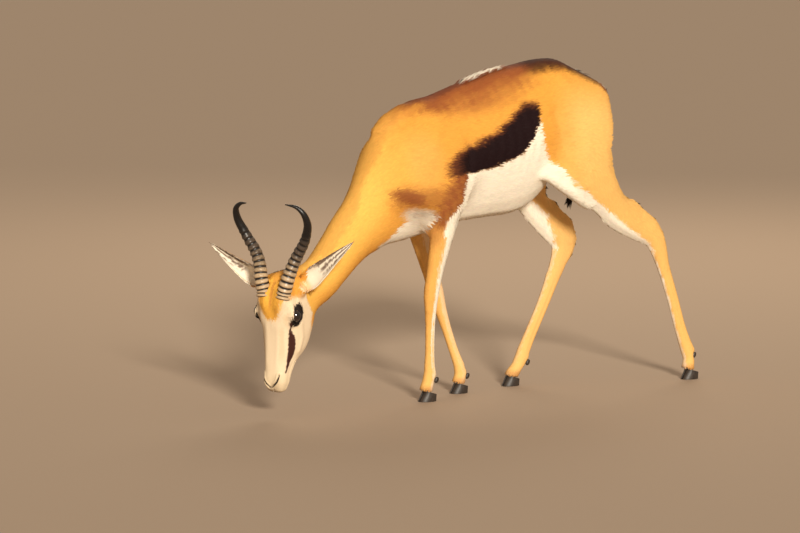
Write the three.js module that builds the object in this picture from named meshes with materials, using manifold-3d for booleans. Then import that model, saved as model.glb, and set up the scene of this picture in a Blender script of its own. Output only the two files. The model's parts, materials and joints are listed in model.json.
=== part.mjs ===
// A life-size springbok ram, head lowered to drink, as a still museum model.
// Millimetres, +Z up. The animal faces -X, its left side is -Y, and the floor is z = 0.
// Flesh is one smooth shape of swept sections. Each body part is wrapped over it and parted by thin cuts.
import * as THREE from "three";
import { mergeVertices } from "three/addons/utils/BufferGeometryUtils.js";
import Module from "manifold-3d";

const wasm = await Module();
wasm.setup();

const V = (x, y, z) => new THREE.Vector3(x, y, z);
const X = V(1, 0, 0);
const Y = V(0, 1, 0);
const Z = V(0, 0, 1);
const GAP = 0.3; // left between neighbouring parts
const OVERRUN = 34; // how far a wrap runs past the cut that will trim it
const SPREAD = 200; // wider than any part that a block trims

// Driving sizes of the trunk: [x, back height, belly height, half width, keel]
const TRUNK = [
  [-122, 600, 442, 44, 0.15],
  [-88, 653, 414, 62, 0.3],
  [-40, 698, 402, 76, 0.4],
  [20, 714, 400, 86, 0.42],
  [100, 738, 408, 96, 0.35],
  [180, 761, 414, 103, 0.25],
  [260, 775, 421, 103, 0.2],
  [320, 785, 454, 97, 0.2],
  [372, 786, 522, 90, 0.15],
  [420, 766, 572, 82, 0.1],
  [468, 742, 614, 66, 0],
  [505, 716, 650, 40, 0],
];
const TRUNK_END = 30;

// Neck centre line with half depth and half width
const NECK = [
  [V(-62, 0, 526), 134, 78],
  [V(-100, -1, 491), 112, 70],
  [V(-139, -3, 456), 93, 58],
  [V(-177, -8, 427), 80, 48],
  [V(-217, -15, 399), 69, 43],
  [V(-252, -19, 366), 61, 40],
  [V(-286, -22, 332), 57, 39],
  [V(-318, -25, 304), 56, 39],
  [V(-354, -25, 290), 54, 38],
  [V(-394, -24, 276), 42, 34],
];

// Head frame: nose tip, up the face to the poll, out of the face, and the animal's left
const NOSE = V(-443, -30, 62);
const UP_FACE = V(-0.062, -0.085, 0.994).normalize();
const OUT = V(-0.892, -0.421, -0.0916).normalize();
const ACROSS = V(0, 0, 0).crossVectors(UP_FACE, OUT).normalize();
const headWay = (u, v, q) => V(0, 0, 0)
  .addScaledVector(UP_FACE, u)
  .addScaledVector(ACROSS, v)
  .addScaledVector(OUT, q);
const headPoint = (u, v, q) => headWay(u, v, q).add(NOSE);

// Skull sections: [up the face, front, back, half width, narrowing towards the jaw]
const SKULL = [
  [6, -3, -33, 22, 0],
  [16, 1, -42, 26, 0.05],
  [34, 3, -50, 28.5, 0.1],
  [55, 2, -64, 31, 0.06],
  [75, 0, -84, 35, 0.02],
  [97, -1, -104, 40, 0],
  [130, 0, -124, 45, 0.03],
  [155, 3, -132, 49, 0.08],
  [174, 5, -132, 52, 0.15],
  [200, 7, -129, 52, 0.2],
  [222, 3, -118, 48, 0.2],
  [238, -7, -110, 44, 0.1],
  [249, -22, -100, 38, 0.1],
];
const EYE = { u: 176, v: 44, q: -24, radius: 16 };

// Legs: [centre, half depth, half width] from the body down to the ground, and the heights of the cuts
const LEGS = [
  {
    name: "foreleg_left",
    side: -1,
    stations: [
      [V(14, -74, 452), 38, 27],
      [V(6, -68, 400), 31, 25],
      [V(-2, -62, 350), 26, 21],
      [V(-8, -55, 300), 21, 18],
      [V(-13, -50, 256), 20.5, 17.5],
      [V(-12, -46, 225), 16.5, 14.5],
      [V(-9, -40, 180), 13.5, 11],
      [V(-5, -33, 120), 13, 10.5],
      [V(-1, -27, 78), 15, 12.5],
      [V(1, -25, 60), 17.5, 14.5],
      [V(-4, -23, 42), 15, 14],
      [V(-8, -21, 24), 18, 16.5],
      [V(-11, -20, 6), 19, 17],
    ],
    joint: V(-13, -50, 236),
    fetlock: V(-3, -29, 84),
    foot: V(-4, -20, 0),
    upper: "fore",
  },
  {
    name: "foreleg_right",
    side: 1,
    stations: [
      [V(26, 75, 449), 38, 27],
      [V(40, 70, 395), 31, 25],
      [V(55, 64, 335), 26, 21],
      [V(69, 59, 280), 21, 18],
      [V(80, 55, 235), 20.5, 17.5],
      [V(89, 53, 203), 16.5, 14.5],
      [V(106, 50, 152), 13.5, 11],
      [V(125, 47, 98), 13, 10.5],
      [V(138, 45, 66), 15, 12.5],
      [V(143, 45, 50), 17.5, 14.5],
      [V(140, 45, 36), 15, 14],
      [V(135, 45, 22), 18, 16.5],
      [V(131, 45, 6), 19, 17],
    ],
    joint: V(87, 54, 214),
    fetlock: V(135, 46, 72),
    foot: V(136, 45, 0),
    upper: "fore",
  },
  {
    name: "hindleg_left",
    side: -1,
    stations: [
      [V(390, -92, 496), 54, 32],
      [V(448, -93, 466), 48, 28],
      [V(509, -91, 415), 45, 22],
      [V(568, -89, 377), 34, 17.5],
      [V(613, -88, 353), 29, 17.5],
      [V(632, -88, 319), 22.5, 15],
      [V(653, -87, 268), 18, 12.5],
      [V(679, -87, 198), 17, 12],
      [V(704, -86, 125), 17, 12],
      [V(720, -86, 86), 18.5, 14],
      [V(728, -86, 68), 20, 15.5],
      [V(731, -87, 48), 15.5, 14],
      [V(727, -88, 26), 18, 17],
      [V(723, -88, 6), 19, 17.5],
    ],
    joint: V(636, -88, 334),
    fetlock: V(721, -86, 92),
    foot: V(731, -88, 0),
    upper: "hind",
  },
  {
    name: "hindleg_right",
    side: 1,
    stations: [
      [V(296, 84, 515), 52, 32],
      [V(340, 84, 478), 46, 28],
      [V(388, 81, 425), 42, 22],
      [V(430, 79, 378), 37, 17.5],
      [V(469, 78, 337), 35, 17.5],
      [V(462, 77, 296), 26, 15.5],
      [V(438, 76, 244), 20.5, 12.5],
      [V(407, 75, 182), 18, 12],
      [V(370, 75, 114), 17.5, 12],
      [V(351, 74, 79), 18.5, 14],
      [V(345, 74, 63), 19, 15.5],
      [V(331, 73, 44), 15.5, 14],
      [V(315, 72, 26), 18, 17],
      [V(305, 72, 6), 19, 17.5],
    ],
    joint: V(474, 77, 306),
    fetlock: V(357, 74, 86),
    foot: V(310, 72, 0),
    upper: "hind",
  },
];

// Muscles and joints over the frame: [stations of centre, half depth, half width]
const MUSCLES = [
  // shoulder blades and upper arms
  [[V(8, -38, 646), 46, 24], [V(-30, -60, 586), 58, 29], [V(-84, -66, 505), 44, 32]],
  [[V(8, 38, 646), 46, 24], [V(-30, 60, 586), 58, 29], [V(-84, 66, 505), 44, 32]],
  [[V(-84, -68, 500), 42, 30], [V(-36, -78, 480), 48, 30], [V(14, -74, 456), 38, 26]],
  [[V(-84, 68, 500), 42, 30], [V(-32, 78, 478), 48, 30], [V(26, 75, 453), 38, 26]],
  // triceps, from the blade to the elbow
  [[V(35, -60, 600), 40, 22], [V(38, -76, 530), 44, 26], [V(30, -76, 470), 34, 24]],
  [[V(35, 60, 600), 40, 22], [V(42, 76, 530), 44, 26], [V(40, 76, 470), 34, 24]],
  // thighs
  [[V(430, -50, 690), 66, 34], [V(420, -72, 610), 82, 40], [V(396, -90, 525), 60, 34]],
  [[V(430, 50, 690), 66, 34], [V(370, 72, 612), 82, 40], [V(306, 84, 540), 58, 34]],
  // back of the thighs
  [
    [V(458, -38, 690), 32, 30],
    [V(450, -66, 620), 38, 36],
    [V(442, -84, 540), 36, 32],
    [V(470, -90, 474), 30, 26],
  ],
  [
    [V(462, 38, 690), 32, 30],
    [V(450, 66, 620), 40, 36],
    [V(412, 82, 545), 42, 32],
    [V(382, 84, 478), 34, 28],
  ],
];

// Heel strings and heel points: [top, heel, below the heel]
const HEELS = [
  [V(545, -91, 440), V(626, -88, 376), V(646, -88, 318)],
  [V(436, 80, 436), V(509, 78, 354), V(486, 77, 298)],
];

// Cuts: a point on each and the way it faces
const NECK_CUT = { at: V(-142, 0, 458), to: V(-0.76, 0, -0.65).normalize() };
const POLL_CUT = {
  at: headPoint(222, 0, -92),
  to: UP_FACE.clone().multiplyScalar(0.56).addScaledVector(OUT, -0.83).normalize(),
};
const GROIN_CUT = { at: V(300, 0, 436), to: V(0.61, 0, -0.792).normalize() };
const ELBOW_CUT = { height: 422, inside: 44, front: -34, back: 84, low: 340 };
const TAIL_ROOT = V(512, 0, 704);
const TAIL_CUT = { at: V(522, 0, 702), to: V(0.93, 0.02, -0.36).normalize() };

const clamp = (t, lo, hi) => Math.min(hi, Math.max(lo, t));
const mix = (a, b, t) => a + (b - a) * t;

// Value from a table of rows by its first column, smooth between rows
function sampleRow(rows, x) {
  const last = rows.length - 1;
  const at = clamp(x, rows[0][0], rows[last][0]);
  let i = 0;
  while (i < last - 1 && rows[i + 1][0] < at) {
    i += 1;
  }
  const t = (at - rows[i][0]) / (rows[i + 1][0] - rows[i][0]);
  const before = rows[Math.max(0, i - 1)];
  const after = rows[Math.min(last, i + 2)];
  return rows[i].map((value, k) => {
    const span = rows[i + 1][0] - rows[i][0];
    const inSlope = ((rows[i + 1][k] - before[k]) / (rows[i + 1][0] - before[0])) * span;
    const outSlope = ((after[k] - value) / (after[0] - rows[i][0])) * span;
    return hermite(value, rows[i + 1][k], inSlope, outSlope, t);
  });
}

function hermite(a, b, slopeA, slopeB, t) {
  const t2 = t * t;
  const t3 = t2 * t;
  return (2 * t3 - 3 * t2 + 1) * a + (t3 - 2 * t2 + t) * slopeA + (3 * t2 - 2 * t3) * b + (t3 - t2) * slopeB;
}

// Two shapes joined with a rounded fillet of size k
function blend(a, b, k) {
  const h = Math.max(k - Math.abs(a - b), 0) / k;
  return Math.min(a, b) - (h * h * k) / 4;
}

// A tube of elliptic section along stations of [centre, half depth, half width]
function sweep(stations, facing = X, power = 2) {
  const curve = new THREE.CatmullRomCurve3(stations.map((s) => s[0]), false, "centripetal");
  const steps = (stations.length - 1) * 4;
  const nodes = [];
  for (let i = 0; i <= steps; i += 1) {
    const t = i / steps;
    const j = Math.min(stations.length - 2, Math.floor(t * (stations.length - 1)));
    const f = t * (stations.length - 1) - j;
    const centre = curve.getPoint(t);
    const tangent = curve.getTangent(t);
    const deep = facing.clone().addScaledVector(tangent, -facing.dot(tangent)).normalize();
    const wide = V(0, 0, 0).crossVectors(tangent, deep);
    nodes.push({
      centre,
      tangent,
      deep,
      wide,
      a: mix(stations[j][1], stations[j + 1][1], f),
      b: mix(stations[j][2], stations[j + 1][2], f),
    });
  }
  const box = new THREE.Box3().setFromPoints(nodes.map((n) => n.centre));
  box.expandByScalar(Math.max(...nodes.map((n) => Math.max(n.a, n.b))) + 40);
  return (p) => {
    if (!box.containsPoint(p)) {
      return 60;
    }
    let best = Infinity;
    let at = 0;
    let along = 0;
    for (let i = 0; i < steps; i += 1) {
      const a = nodes[i].centre;
      const b = nodes[i + 1].centre;
      const dx = b.x - a.x;
      const dy = b.y - a.y;
      const dz = b.z - a.z;
      const ex = p.x - a.x;
      const ey = p.y - a.y;
      const ez = p.z - a.z;
      const t = clamp((ex * dx + ey * dy + ez * dz) / (dx * dx + dy * dy + dz * dz), 0, 1);
      const d = (ex - t * dx) ** 2 + (ey - t * dy) ** 2 + (ez - t * dz) ** 2;
      if (d < best) {
        best = d;
        at = i;
        along = t;
      }
    }
    const m = nodes[at];
    const n = nodes[at + 1];
    const q = p.clone().sub(m.centre.clone().lerp(n.centre, along));
    const a = mix(m.a, n.a, along);
    const b = mix(m.b, n.b, along);
    const cap = Math.min(a, b);
    const da = mix(q.dot(m.deep), q.dot(n.deep), along) / a;
    const db = mix(q.dot(m.wide), q.dot(n.wide), along) / b;
    const dt = mix(q.dot(m.tangent), q.dot(n.tangent), along) / cap;
    const r = (Math.abs(da) ** power + Math.abs(db) ** power + Math.abs(dt) ** power) ** (1 / power);
    return (r - 1) * cap;
  };
}

// An egg with half sizes along three directions
function egg(centre, axes, sizes) {
  return (p) => {
    const q = p.clone().sub(centre);
    const r = Math.hypot(q.dot(axes[0]) / sizes[0], q.dot(axes[1]) / sizes[1], q.dot(axes[2]) / sizes[2]);
    return (r - 1) * Math.min(...sizes);
  };
}

// Trunk with a narrower brisket
function trunk(p) {
  const first = TRUNK[0][0];
  const last = TRUNK[TRUNK.length - 1][0];
  const [, top, bottom, half, keel] = sampleRow(TRUNK, p.x);
  const middle = (top + bottom) / 2;
  const tall = (top - bottom) / 2;
  const low = clamp((middle - p.z) / tall, 0, 1.2);
  const wide = half * (1 - keel * low);
  const past = p.x - clamp(p.x, first, last);
  const r = Math.hypot((p.z - middle) / tall, p.y / wide, past / TRUNK_END);
  return (r - 1) * Math.min(tall, wide);
}

// Skull and jaws
const HEAD_AXES = [UP_FACE, ACROSS, OUT];
function skull(p) {
  const q = p.clone().sub(NOSE);
  const [u, v, w] = HEAD_AXES.map((axis) => q.dot(axis));
  if (u < -60 || u > 360 || Math.abs(v) > 160 || Math.abs(w + 60) > 200) {
    return 60;
  }
  const first = SKULL[0][0];
  const last = SKULL[SKULL.length - 1][0];
  const [, front, back, half, jaw] = sampleRow(SKULL, u);
  const middle = (front + back) / 2;
  const deep = (front - back) / 2;
  const low = clamp((middle - w) / deep, 0, 1.2);
  const wide = half * (1 - jaw * low);
  const past = u - clamp(u, first, last);
  const power = 2.7;
  const end = past < 0 ? 13 : 15;
  const ratios = [(w - middle) / deep, v / wide, past / end];
  const r = ratios.reduce((sum, ratio) => sum + Math.abs(ratio) ** power, 0) ** (1 / power);
  return (r - 1) * Math.min(deep, wide);
}

const HORN_BASE = { u: 229, v: 27, q: -8 };
const EAR_BASE = { u: 233, v: 46, q: -46 };
const HORN_WAY = { u: 25, v: 7, q: -1 };
const EAR_WAYS = { left: V(118, 123, -30), right: V(76, -139, 0) };

const headParts = [];
for (const s of [1, -1]) {
  // brow and orbit
  headParts.push([egg(headPoint(EYE.u + 3, s * (EYE.v - 5), EYE.q + 3), HEAD_AXES, [24, 17, 21]), 10]);
  // cheek
  headParts.push([egg(headPoint(142, s * 30, -76), HEAD_AXES, [58, 16, 32]), 16]);
  // muzzle side
  headParts.push([egg(headPoint(22, s * 14, -12), HEAD_AXES, [18, 12, 15]), 10]);
  // pedicle of the horn
  const base = headPoint(HORN_BASE.u, s * HORN_BASE.v, HORN_BASE.q);
  const way = headWay(HORN_WAY.u, s * HORN_WAY.v, HORN_WAY.q).normalize();
  const inside = base.clone().addScaledVector(way, -34);
  const beyond = base.clone().addScaledVector(way, 12);
  headParts.push([sweep([[inside, 19, 19], [base, 18, 18], [beyond, 18, 18]], OUT), 8]);
  // root of the ear
  const root = headPoint(EAR_BASE.u, s * EAR_BASE.v, EAR_BASE.q);
  const ear = s > 0 ? EAR_WAYS.left : EAR_WAYS.right;
  const earWay = headWay(ear.x, ear.y, ear.z).normalize();
  headParts.push([sweep([
    [root.clone().addScaledVector(earWay, -26), 20, 17],
    [root, 14, 13],
    [root.clone().addScaledVector(earWay, 14), 14, 13],
  ], OUT), 10]);
}

const neckField = sweep(NECK, Z);
const tailStub = sweep([[V(486, 0, 700), 22, 20], [TAIL_ROOT, 15, 13], [V(536, 0, 696), 14, 12]], Z);
const muscleFields = MUSCLES.map((m) => sweep(m));
const legFields = LEGS.map((leg) => sweep(leg.stations));
const heelFields = HEELS.map(([a, b, c]) => sweep([[a, 13, 10], [b, 11, 10], [c, 12, 10]]));

function body(p) {
  let d = trunk(p);
  for (const muscle of muscleFields) {
    d = blend(d, muscle(p), 34);
  }
  d = blend(d, neckField(p), 40);
  return blend(d, tailStub(p), 14);
}

function head(p) {
  let d = skull(p);
  for (const [part, k] of headParts) {
    d = blend(d, part(p), k);
  }
  return d;
}

function limbs(p) {
  let d = 60;
  for (const leg of legFields) {
    d = blend(d, leg(p), 2);
  }
  for (const heel of heelFields) {
    d = blend(d, heel(p), 12);
  }
  return d;
}

const flesh = (p) => blend(blend(body(p), limbs(p), 20), head(p), 24);
const beyond = (p, cut) => p.clone().sub(cut.at).dot(cut.to);

// Distance along a ray from inside a field to its surface
function reach(field, from, way, most) {
  let near = 0;
  let far = 0;
  const p = V(0, 0, 0);
  const value = (r) => field(p.copy(from).addScaledVector(way, r));
  if (value(0) > 0) {
    return 0.5;
  }
  while (far < most) {
    far += 5;
    if (value(far) > 0) {
      break;
    }
    near = far;
  }
  for (let i = 0; i < 12; i += 1) {
    const middle = (near + far) / 2;
    if (value(middle) > 0) {
      far = middle;
    } else {
      near = middle;
    }
  }
  return near;
}

// A point on an ellipse with half sizes a and b
function onRing(centre, deep, wide, angle, a, b) {
  return centre.clone().addScaledVector(deep, Math.cos(angle) * a).addScaledVector(wide, Math.sin(angle) * b);
}

// Rings around a spine out to the surface of a field, closed flat or round at each end
function wrap(field, spine, sides, facing, { roundStart = 0, roundEnd = 0, most = 320 } = {}) {
  const points = [];
  const rings = [];
  const frames = spine.map((centre, i) => {
    const ahead = spine[Math.min(i + 1, spine.length - 1)];
    const behind = spine[Math.max(i - 1, 0)];
    const tangent = ahead.clone().sub(behind).normalize();
    const deep = facing.clone().addScaledVector(tangent, -facing.dot(tangent)).normalize();
    return { centre, tangent, deep, wide: V(0, 0, 0).crossVectors(tangent, deep) };
  });
  const angles = Array.from({ length: sides }, (_, k) => (k / sides) * 2 * Math.PI);
  const addRing = (frame, tilt) => {
    const start = points.length;
    for (const angle of angles) {
      const way = onRing(V(0, 0, 0), frame.deep, frame.wide, angle, 1, 1);
      way.multiplyScalar(Math.cos(tilt)).addScaledVector(frame.tangent, Math.sin(tilt));
      points.push(frame.centre.clone().addScaledVector(way, reach(field, frame.centre, way, most)));
    }
    rings.push(start);
  };
  const addPole = (frame, sign, round) => {
    const r = round ? reach(field, frame.centre, frame.tangent.clone().multiplyScalar(sign), most) : 0;
    points.push(frame.centre.clone().addScaledVector(frame.tangent, sign * r));
    return points.length - 1;
  };
  const first = frames[0];
  const final = frames[frames.length - 1];
  const startPole = addPole(first, -1, roundStart);
  for (let i = roundStart; i >= 1; i -= 1) {
    addRing(first, (-i / (roundStart + 1)) * (Math.PI / 2));
  }
  for (const frame of frames) {
    addRing(frame, 0);
  }
  for (let i = 1; i <= roundEnd; i += 1) {
    addRing(final, (i / (roundEnd + 1)) * (Math.PI / 2));
  }
  const endPole = addPole(final, 1, roundEnd);
  return skin(points, rings, sides, startPole, endPole);
}

// Triangles between rings of points with a pole at each end
function skin(points, rings, sides, startPole, endPole) {
  const index = [];
  for (let k = 0; k < sides; k += 1) {
    const next = (k + 1) % sides;
    index.push(startPole, rings[0] + next, rings[0] + k);
    for (let i = 0; i + 1 < rings.length; i += 1) {
      const a = rings[i] + k;
      const b = rings[i] + next;
      const c = rings[i + 1] + k;
      const d = rings[i + 1] + next;
      index.push(a, b, d, a, d, c);
    }
    const last = rings[rings.length - 1];
    index.push(endPole, last + k, last + next);
  }
  return solid(points, index);
}

// A closed body from points and triangles
function solid(points, index) {
  const geometry = new THREE.BufferGeometry();
  const places = points.flatMap((p) => [p.x, p.y, p.z]);
  geometry.setAttribute("position", new THREE.Float32BufferAttribute(places, 3));
  geometry.setIndex(index);
  return toSolid(geometry);
}

function toSolid(source) {
  const geometry = source.clone();
  geometry.deleteAttribute("normal");
  geometry.deleteAttribute("uv");
  const merged = mergeVertices(geometry, 1e-4);
  const mesh = new wasm.Mesh({
    numProp: 3,
    vertProperties: Float32Array.from(merged.attributes.position.array),
    triVerts: Uint32Array.from(merged.index.array),
  });
  const made = new wasm.Manifold(mesh);
  return made.volume() < 0 ? new wasm.Manifold(flipped(mesh)) : made;
}

function flipped(mesh) {
  const triVerts = Uint32Array.from(mesh.triVerts);
  for (let i = 0; i < triVerts.length; i += 3) {
    [triVerts[i + 1], triVerts[i + 2]] = [triVerts[i + 2], triVerts[i + 1]];
  }
  return new wasm.Mesh({ numProp: 3, vertProperties: mesh.vertProperties, triVerts });
}

// Rings of given points, closed by a middle point at each end
function loft(ringsOfPoints) {
  const sides = ringsOfPoints[0].length;
  const points = ringsOfPoints.flat();
  const rings = ringsOfPoints.map((_, i) => i * sides);
  const middle = (ring) => ring.reduce((sum, p) => sum.add(p), V(0, 0, 0)).divideScalar(ring.length);
  points.push(middle(ringsOfPoints[0]), middle(ringsOfPoints[ringsOfPoints.length - 1]));
  return skin(points, rings, sides, points.length - 2, points.length - 1);
}

// A tapered tube of flattened section: rows of [point, half depth, half width]
function tube(rows, facing, sides = 6) {
  return loft(rows.map(([centre, a, b], i) => {
    const ahead = rows[Math.min(i + 1, rows.length - 1)][0];
    const behind = rows[Math.max(i - 1, 0)][0];
    const tangent = ahead.clone().sub(behind).normalize();
    const deep = facing.clone().addScaledVector(tangent, -facing.dot(tangent)).normalize();
    const wide = V(0, 0, 0).crossVectors(tangent, deep);
    return Array.from({ length: sides }, (_, k) => {
      const angle = (k / sides) * 2 * Math.PI;
      return onRing(centre, deep, wide, angle, a, b);
    });
  }));
}

function block(low, high) {
  const size = high.clone().sub(low);
  const box = new THREE.BoxGeometry(size.x, size.y, size.z);
  const centre = low.clone().add(high).multiplyScalar(0.5);
  return toSolid(box.translate(centre.x, centre.y, centre.z));
}

// Take away everything past a cut
function trim(body, cut, side = 1, gap = GAP / 2) {
  const size = 3000;
  const to = cut.to.clone().multiplyScalar(side);
  const across = Math.abs(to.y) < 0.9 ? Y : X;
  const a = V(0, 0, 0).crossVectors(across, to).normalize();
  const b = V(0, 0, 0).crossVectors(to, a);
  const at = cut.at.clone().addScaledVector(to, size / 2 - gap);
  const matrix = new THREE.Matrix4().makeBasis(a, b, to).setPosition(at);
  return body.subtract(toSolid(new THREE.BoxGeometry(size, size, size).applyMatrix4(matrix)));
}

function largest(body) {
  return body.decompose().sort((a, b) => b.volume() - a.volume())[0];
}

// Points along a curve about a given step apart
function walk(points, step) {
  const curve = new THREE.CatmullRomCurve3(points, false, "centripetal");
  return curve.getSpacedPoints(Math.round(curve.getLength() / step));
}

const MATERIALS = {
  tan: [0xc68642, 0.85],
  white: [0xf0e2c6, 0.85],
  horn: [0x2b2623, 0.45],
  eye: [0x120c08, 0.08],
  hoof: [0x1d1916, 0.5],
};
const root = new THREE.Group();
root.name = "springbok";
const pieces = [];
const keep = (name, body, material) => pieces.push({ name, body: largest(body), material });

// Torso
const torsoSpine = [];
for (let x = -228; x <= 456; x += x > 292 && x < 396 ? 9.5 : 16.8) {
  const height = x < -60
    ? sampleRow(NECK.map(([c]) => [c.x, c.z]).reverse(), x)[1]
    : mix(520, 664, clamp((x + 60) / 420, 0, 1));
  torsoSpine.push(V(x, x < -60 ? sampleRow(NECK.map(([c]) => [c.x, c.y]).reverse(), x)[1] : 0, height));
}
const torsoField = (p) => Math.max(
  flesh(p),
  beyond(p, NECK_CUT) - OVERRUN,
  beyond(p, GROIN_CUT) - OVERRUN,
  Math.abs(p.y) > ELBOW_CUT.inside ? ELBOW_CUT.height - OVERRUN - p.z : -50,
  beyond(p, TAIL_CUT) - OVERRUN,
);
let torso = wrap(torsoField, torsoSpine, 34, Z, { roundEnd: 7 });
torso = trim(torso, NECK_CUT);
torso = trim(torso, GROIN_CUT);
torso = trim(torso, TAIL_CUT);
for (const s of [-1, 1]) {
  const near = s * ELBOW_CUT.inside;
  const far = s * SPREAD;
  torso = torso.subtract(block(
    V(ELBOW_CUT.front, Math.min(near, far), 0),
    V(ELBOW_CUT.back, Math.max(near, far), ELBOW_CUT.height),
  ));
}
keep("torso", torso, "tan");

// Neck
const neckSpine = walk(NECK.map(([c]) => c), 19).slice(1);
const neckShape = (p) => Math.max(flesh(p), -beyond(p, NECK_CUT) - OVERRUN, -beyond(p, POLL_CUT) - OVERRUN);
let neck = wrap(neckShape, neckSpine, 24, Z);
neck = trim(neck, NECK_CUT, -1);
neck = trim(neck, POLL_CUT, -1);
keep("neck", neck, "tan");

// Eyes, horns and ears
const HORN = [
  [0, 27, 0, 16.5],
  [27, 34.5, -1, 16.4],
  [61, 44, -8, 15.6],
  [89, 57, -11, 14.4],
  [115, 73, -8, 12.8],
  [138, 84, -2, 11.2],
  [163, 92, 8, 9.4],
  [188, 89, 20, 7.2],
  [203, 74, 27, 4.8],
  [209, 51, 37, 1.2],
];
const EAR_LENGTH = 170;

function hornBody(s, grow = 0) {
  const tall = 1 + 0.015 * s;
  const wider = 1 + 0.015 * (s - 1);
  const at = ([p, v, q]) => headPoint(HORN_BASE.u + p * tall, s * v * wider, HORN_BASE.q + q);
  const curve = new THREE.CatmullRomCurve3(HORN.map(at), false, "centripetal");
  const count = 42;
  const sides = 10;
  const rings = [];
  for (let i = 0; i <= count; i += 1) {
    const t = i / count;
    const row = t * (HORN.length - 1);
    const j = Math.min(HORN.length - 2, Math.floor(row));
    const ridged = clamp((0.66 - t) / 0.12, 0, 1) * clamp(t / 0.05, 0, 1);
    const ridge = 1 + 0.085 * ridged * (i % 3 === 1 ? 1 : i % 3 === 2 ? 0.1 : -0.55);
    const radius = mix(HORN[j][3], HORN[j + 1][3], row - j) * ridge + grow;
    const centre = curve.getPoint(t);
    const tangent = curve.getTangent(t);
    const deep = OUT.clone().addScaledVector(tangent, -OUT.dot(tangent)).normalize();
    const wide = V(0, 0, 0).crossVectors(tangent, deep);
    rings.push(Array.from({ length: sides }, (_, k) => {
      const angle = (k / sides) * 2 * Math.PI;
      return onRing(centre, deep, wide, angle, radius, radius * 0.9);
    }));
  }
  return loft(rings);
}

// A curved leaf, hollow to the front, on a short closed stem
function earBody(s) {
  const given = s > 0 ? EAR_WAYS.left : EAR_WAYS.right;
  const way = headWay(given.x, given.y, given.z).normalize();
  const base = headPoint(EAR_BASE.u, s * EAR_BASE.v, EAR_BASE.q);
  const front = OUT.clone().addScaledVector(way, -OUT.dot(way)).normalize();
  const side = V(0, 0, 0).crossVectors(way, front);
  const rings = [];
  const count = 13;
  const half = 6;
  for (let i = 0; i <= count; i += 1) {
    const t = i / count;
    const width = earWidth(t);
    const open = mix(1.15, 0.95, t) * Math.PI * clamp(t / 0.14, 0.55, 1);
    const thick = mix(3.2, 1.6, t);
    const bend = 14 * Math.sin(t * Math.PI) - 10 * t;
    const centre = base.clone().addScaledVector(way, t * EAR_LENGTH).addScaledVector(front, bend * 0.5);
    const ring = [];
    const hollow = clamp((t - 0.06) / 0.12, 0, 1);
    for (let k = 0; k <= half; k += 1) {
      const angle = Math.PI + (k / half - 0.5) * open;
      ring.push(ringPoint(centre, front, side, angle, width, 1));
    }
    for (let k = half; k >= 0; k -= 1) {
      const angle = Math.PI + (k / half - 0.5) * open;
      const inner = Math.max(0.1, 1 - thick / width);
      const wall = ringPoint(centre, front, side, angle, width, inner);
      const filled = ringPoint(centre, front, side, 0, width, 0.55);
      filled.addScaledVector(side, Math.sin(angle) * width * 0.8);
      ring.push(filled.lerp(wall, hollow));
    }
    rings.push(ring);
  }
  return { body: loft(rings), base, way };
}

function earWidth(t) {
  const past = Math.max(0, (t - 0.3) / 0.705);
  return mix(13, 22.5, clamp(t / 0.3, 0, 1)) * Math.max(0.004, 1 - past ** 1.8) ** 0.75;
}

function ringPoint(centre, front, side, angle, radius, scale) {
  return centre.clone()
    .addScaledVector(front, Math.cos(angle) * radius * scale * 0.8)
    .addScaledVector(side, Math.sin(angle) * radius * scale);
}

// Head
const headSpine = [];
for (let u = 16; u <= 240; u += 10.1) {
  const [, front, back] = sampleRow(SKULL, u);
  headSpine.push(headPoint(u, 0, mix(front, back, clamp(0.45 + u / 1500, 0, 0.5))));
}
const hornWays = {};
for (const s of [1, -1]) {
  hornWays[s] = {
    at: headPoint(HORN_BASE.u, s * HORN_BASE.v, HORN_BASE.q),
    to: headWay(HORN_WAY.u, s * HORN_WAY.v, HORN_WAY.q).normalize(),
  };
}
const headField = (p) => Math.max(flesh(p), beyond(p, POLL_CUT) - OVERRUN);
let headSolid = wrap(headField, headSpine, 26, OUT, { roundStart: 3, roundEnd: 2 });
headSolid = trim(headSolid, POLL_CUT);

// Points on the skin: in front of a place in the face, or beside a place in the head
const onFace = (u, v, sink = 0) => {
  const from = headPoint(u, v, -24);
  return from.addScaledVector(OUT, reach(headField, from, OUT, 80) - sink);
};
const onSide = (u, q, s, sink = 0) => {
  const from = headPoint(u, 0, q);
  const way = ACROSS.clone().multiplyScalar(s);
  return from.addScaledVector(way, reach(headField, from, way, 90) - sink);
};

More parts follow.
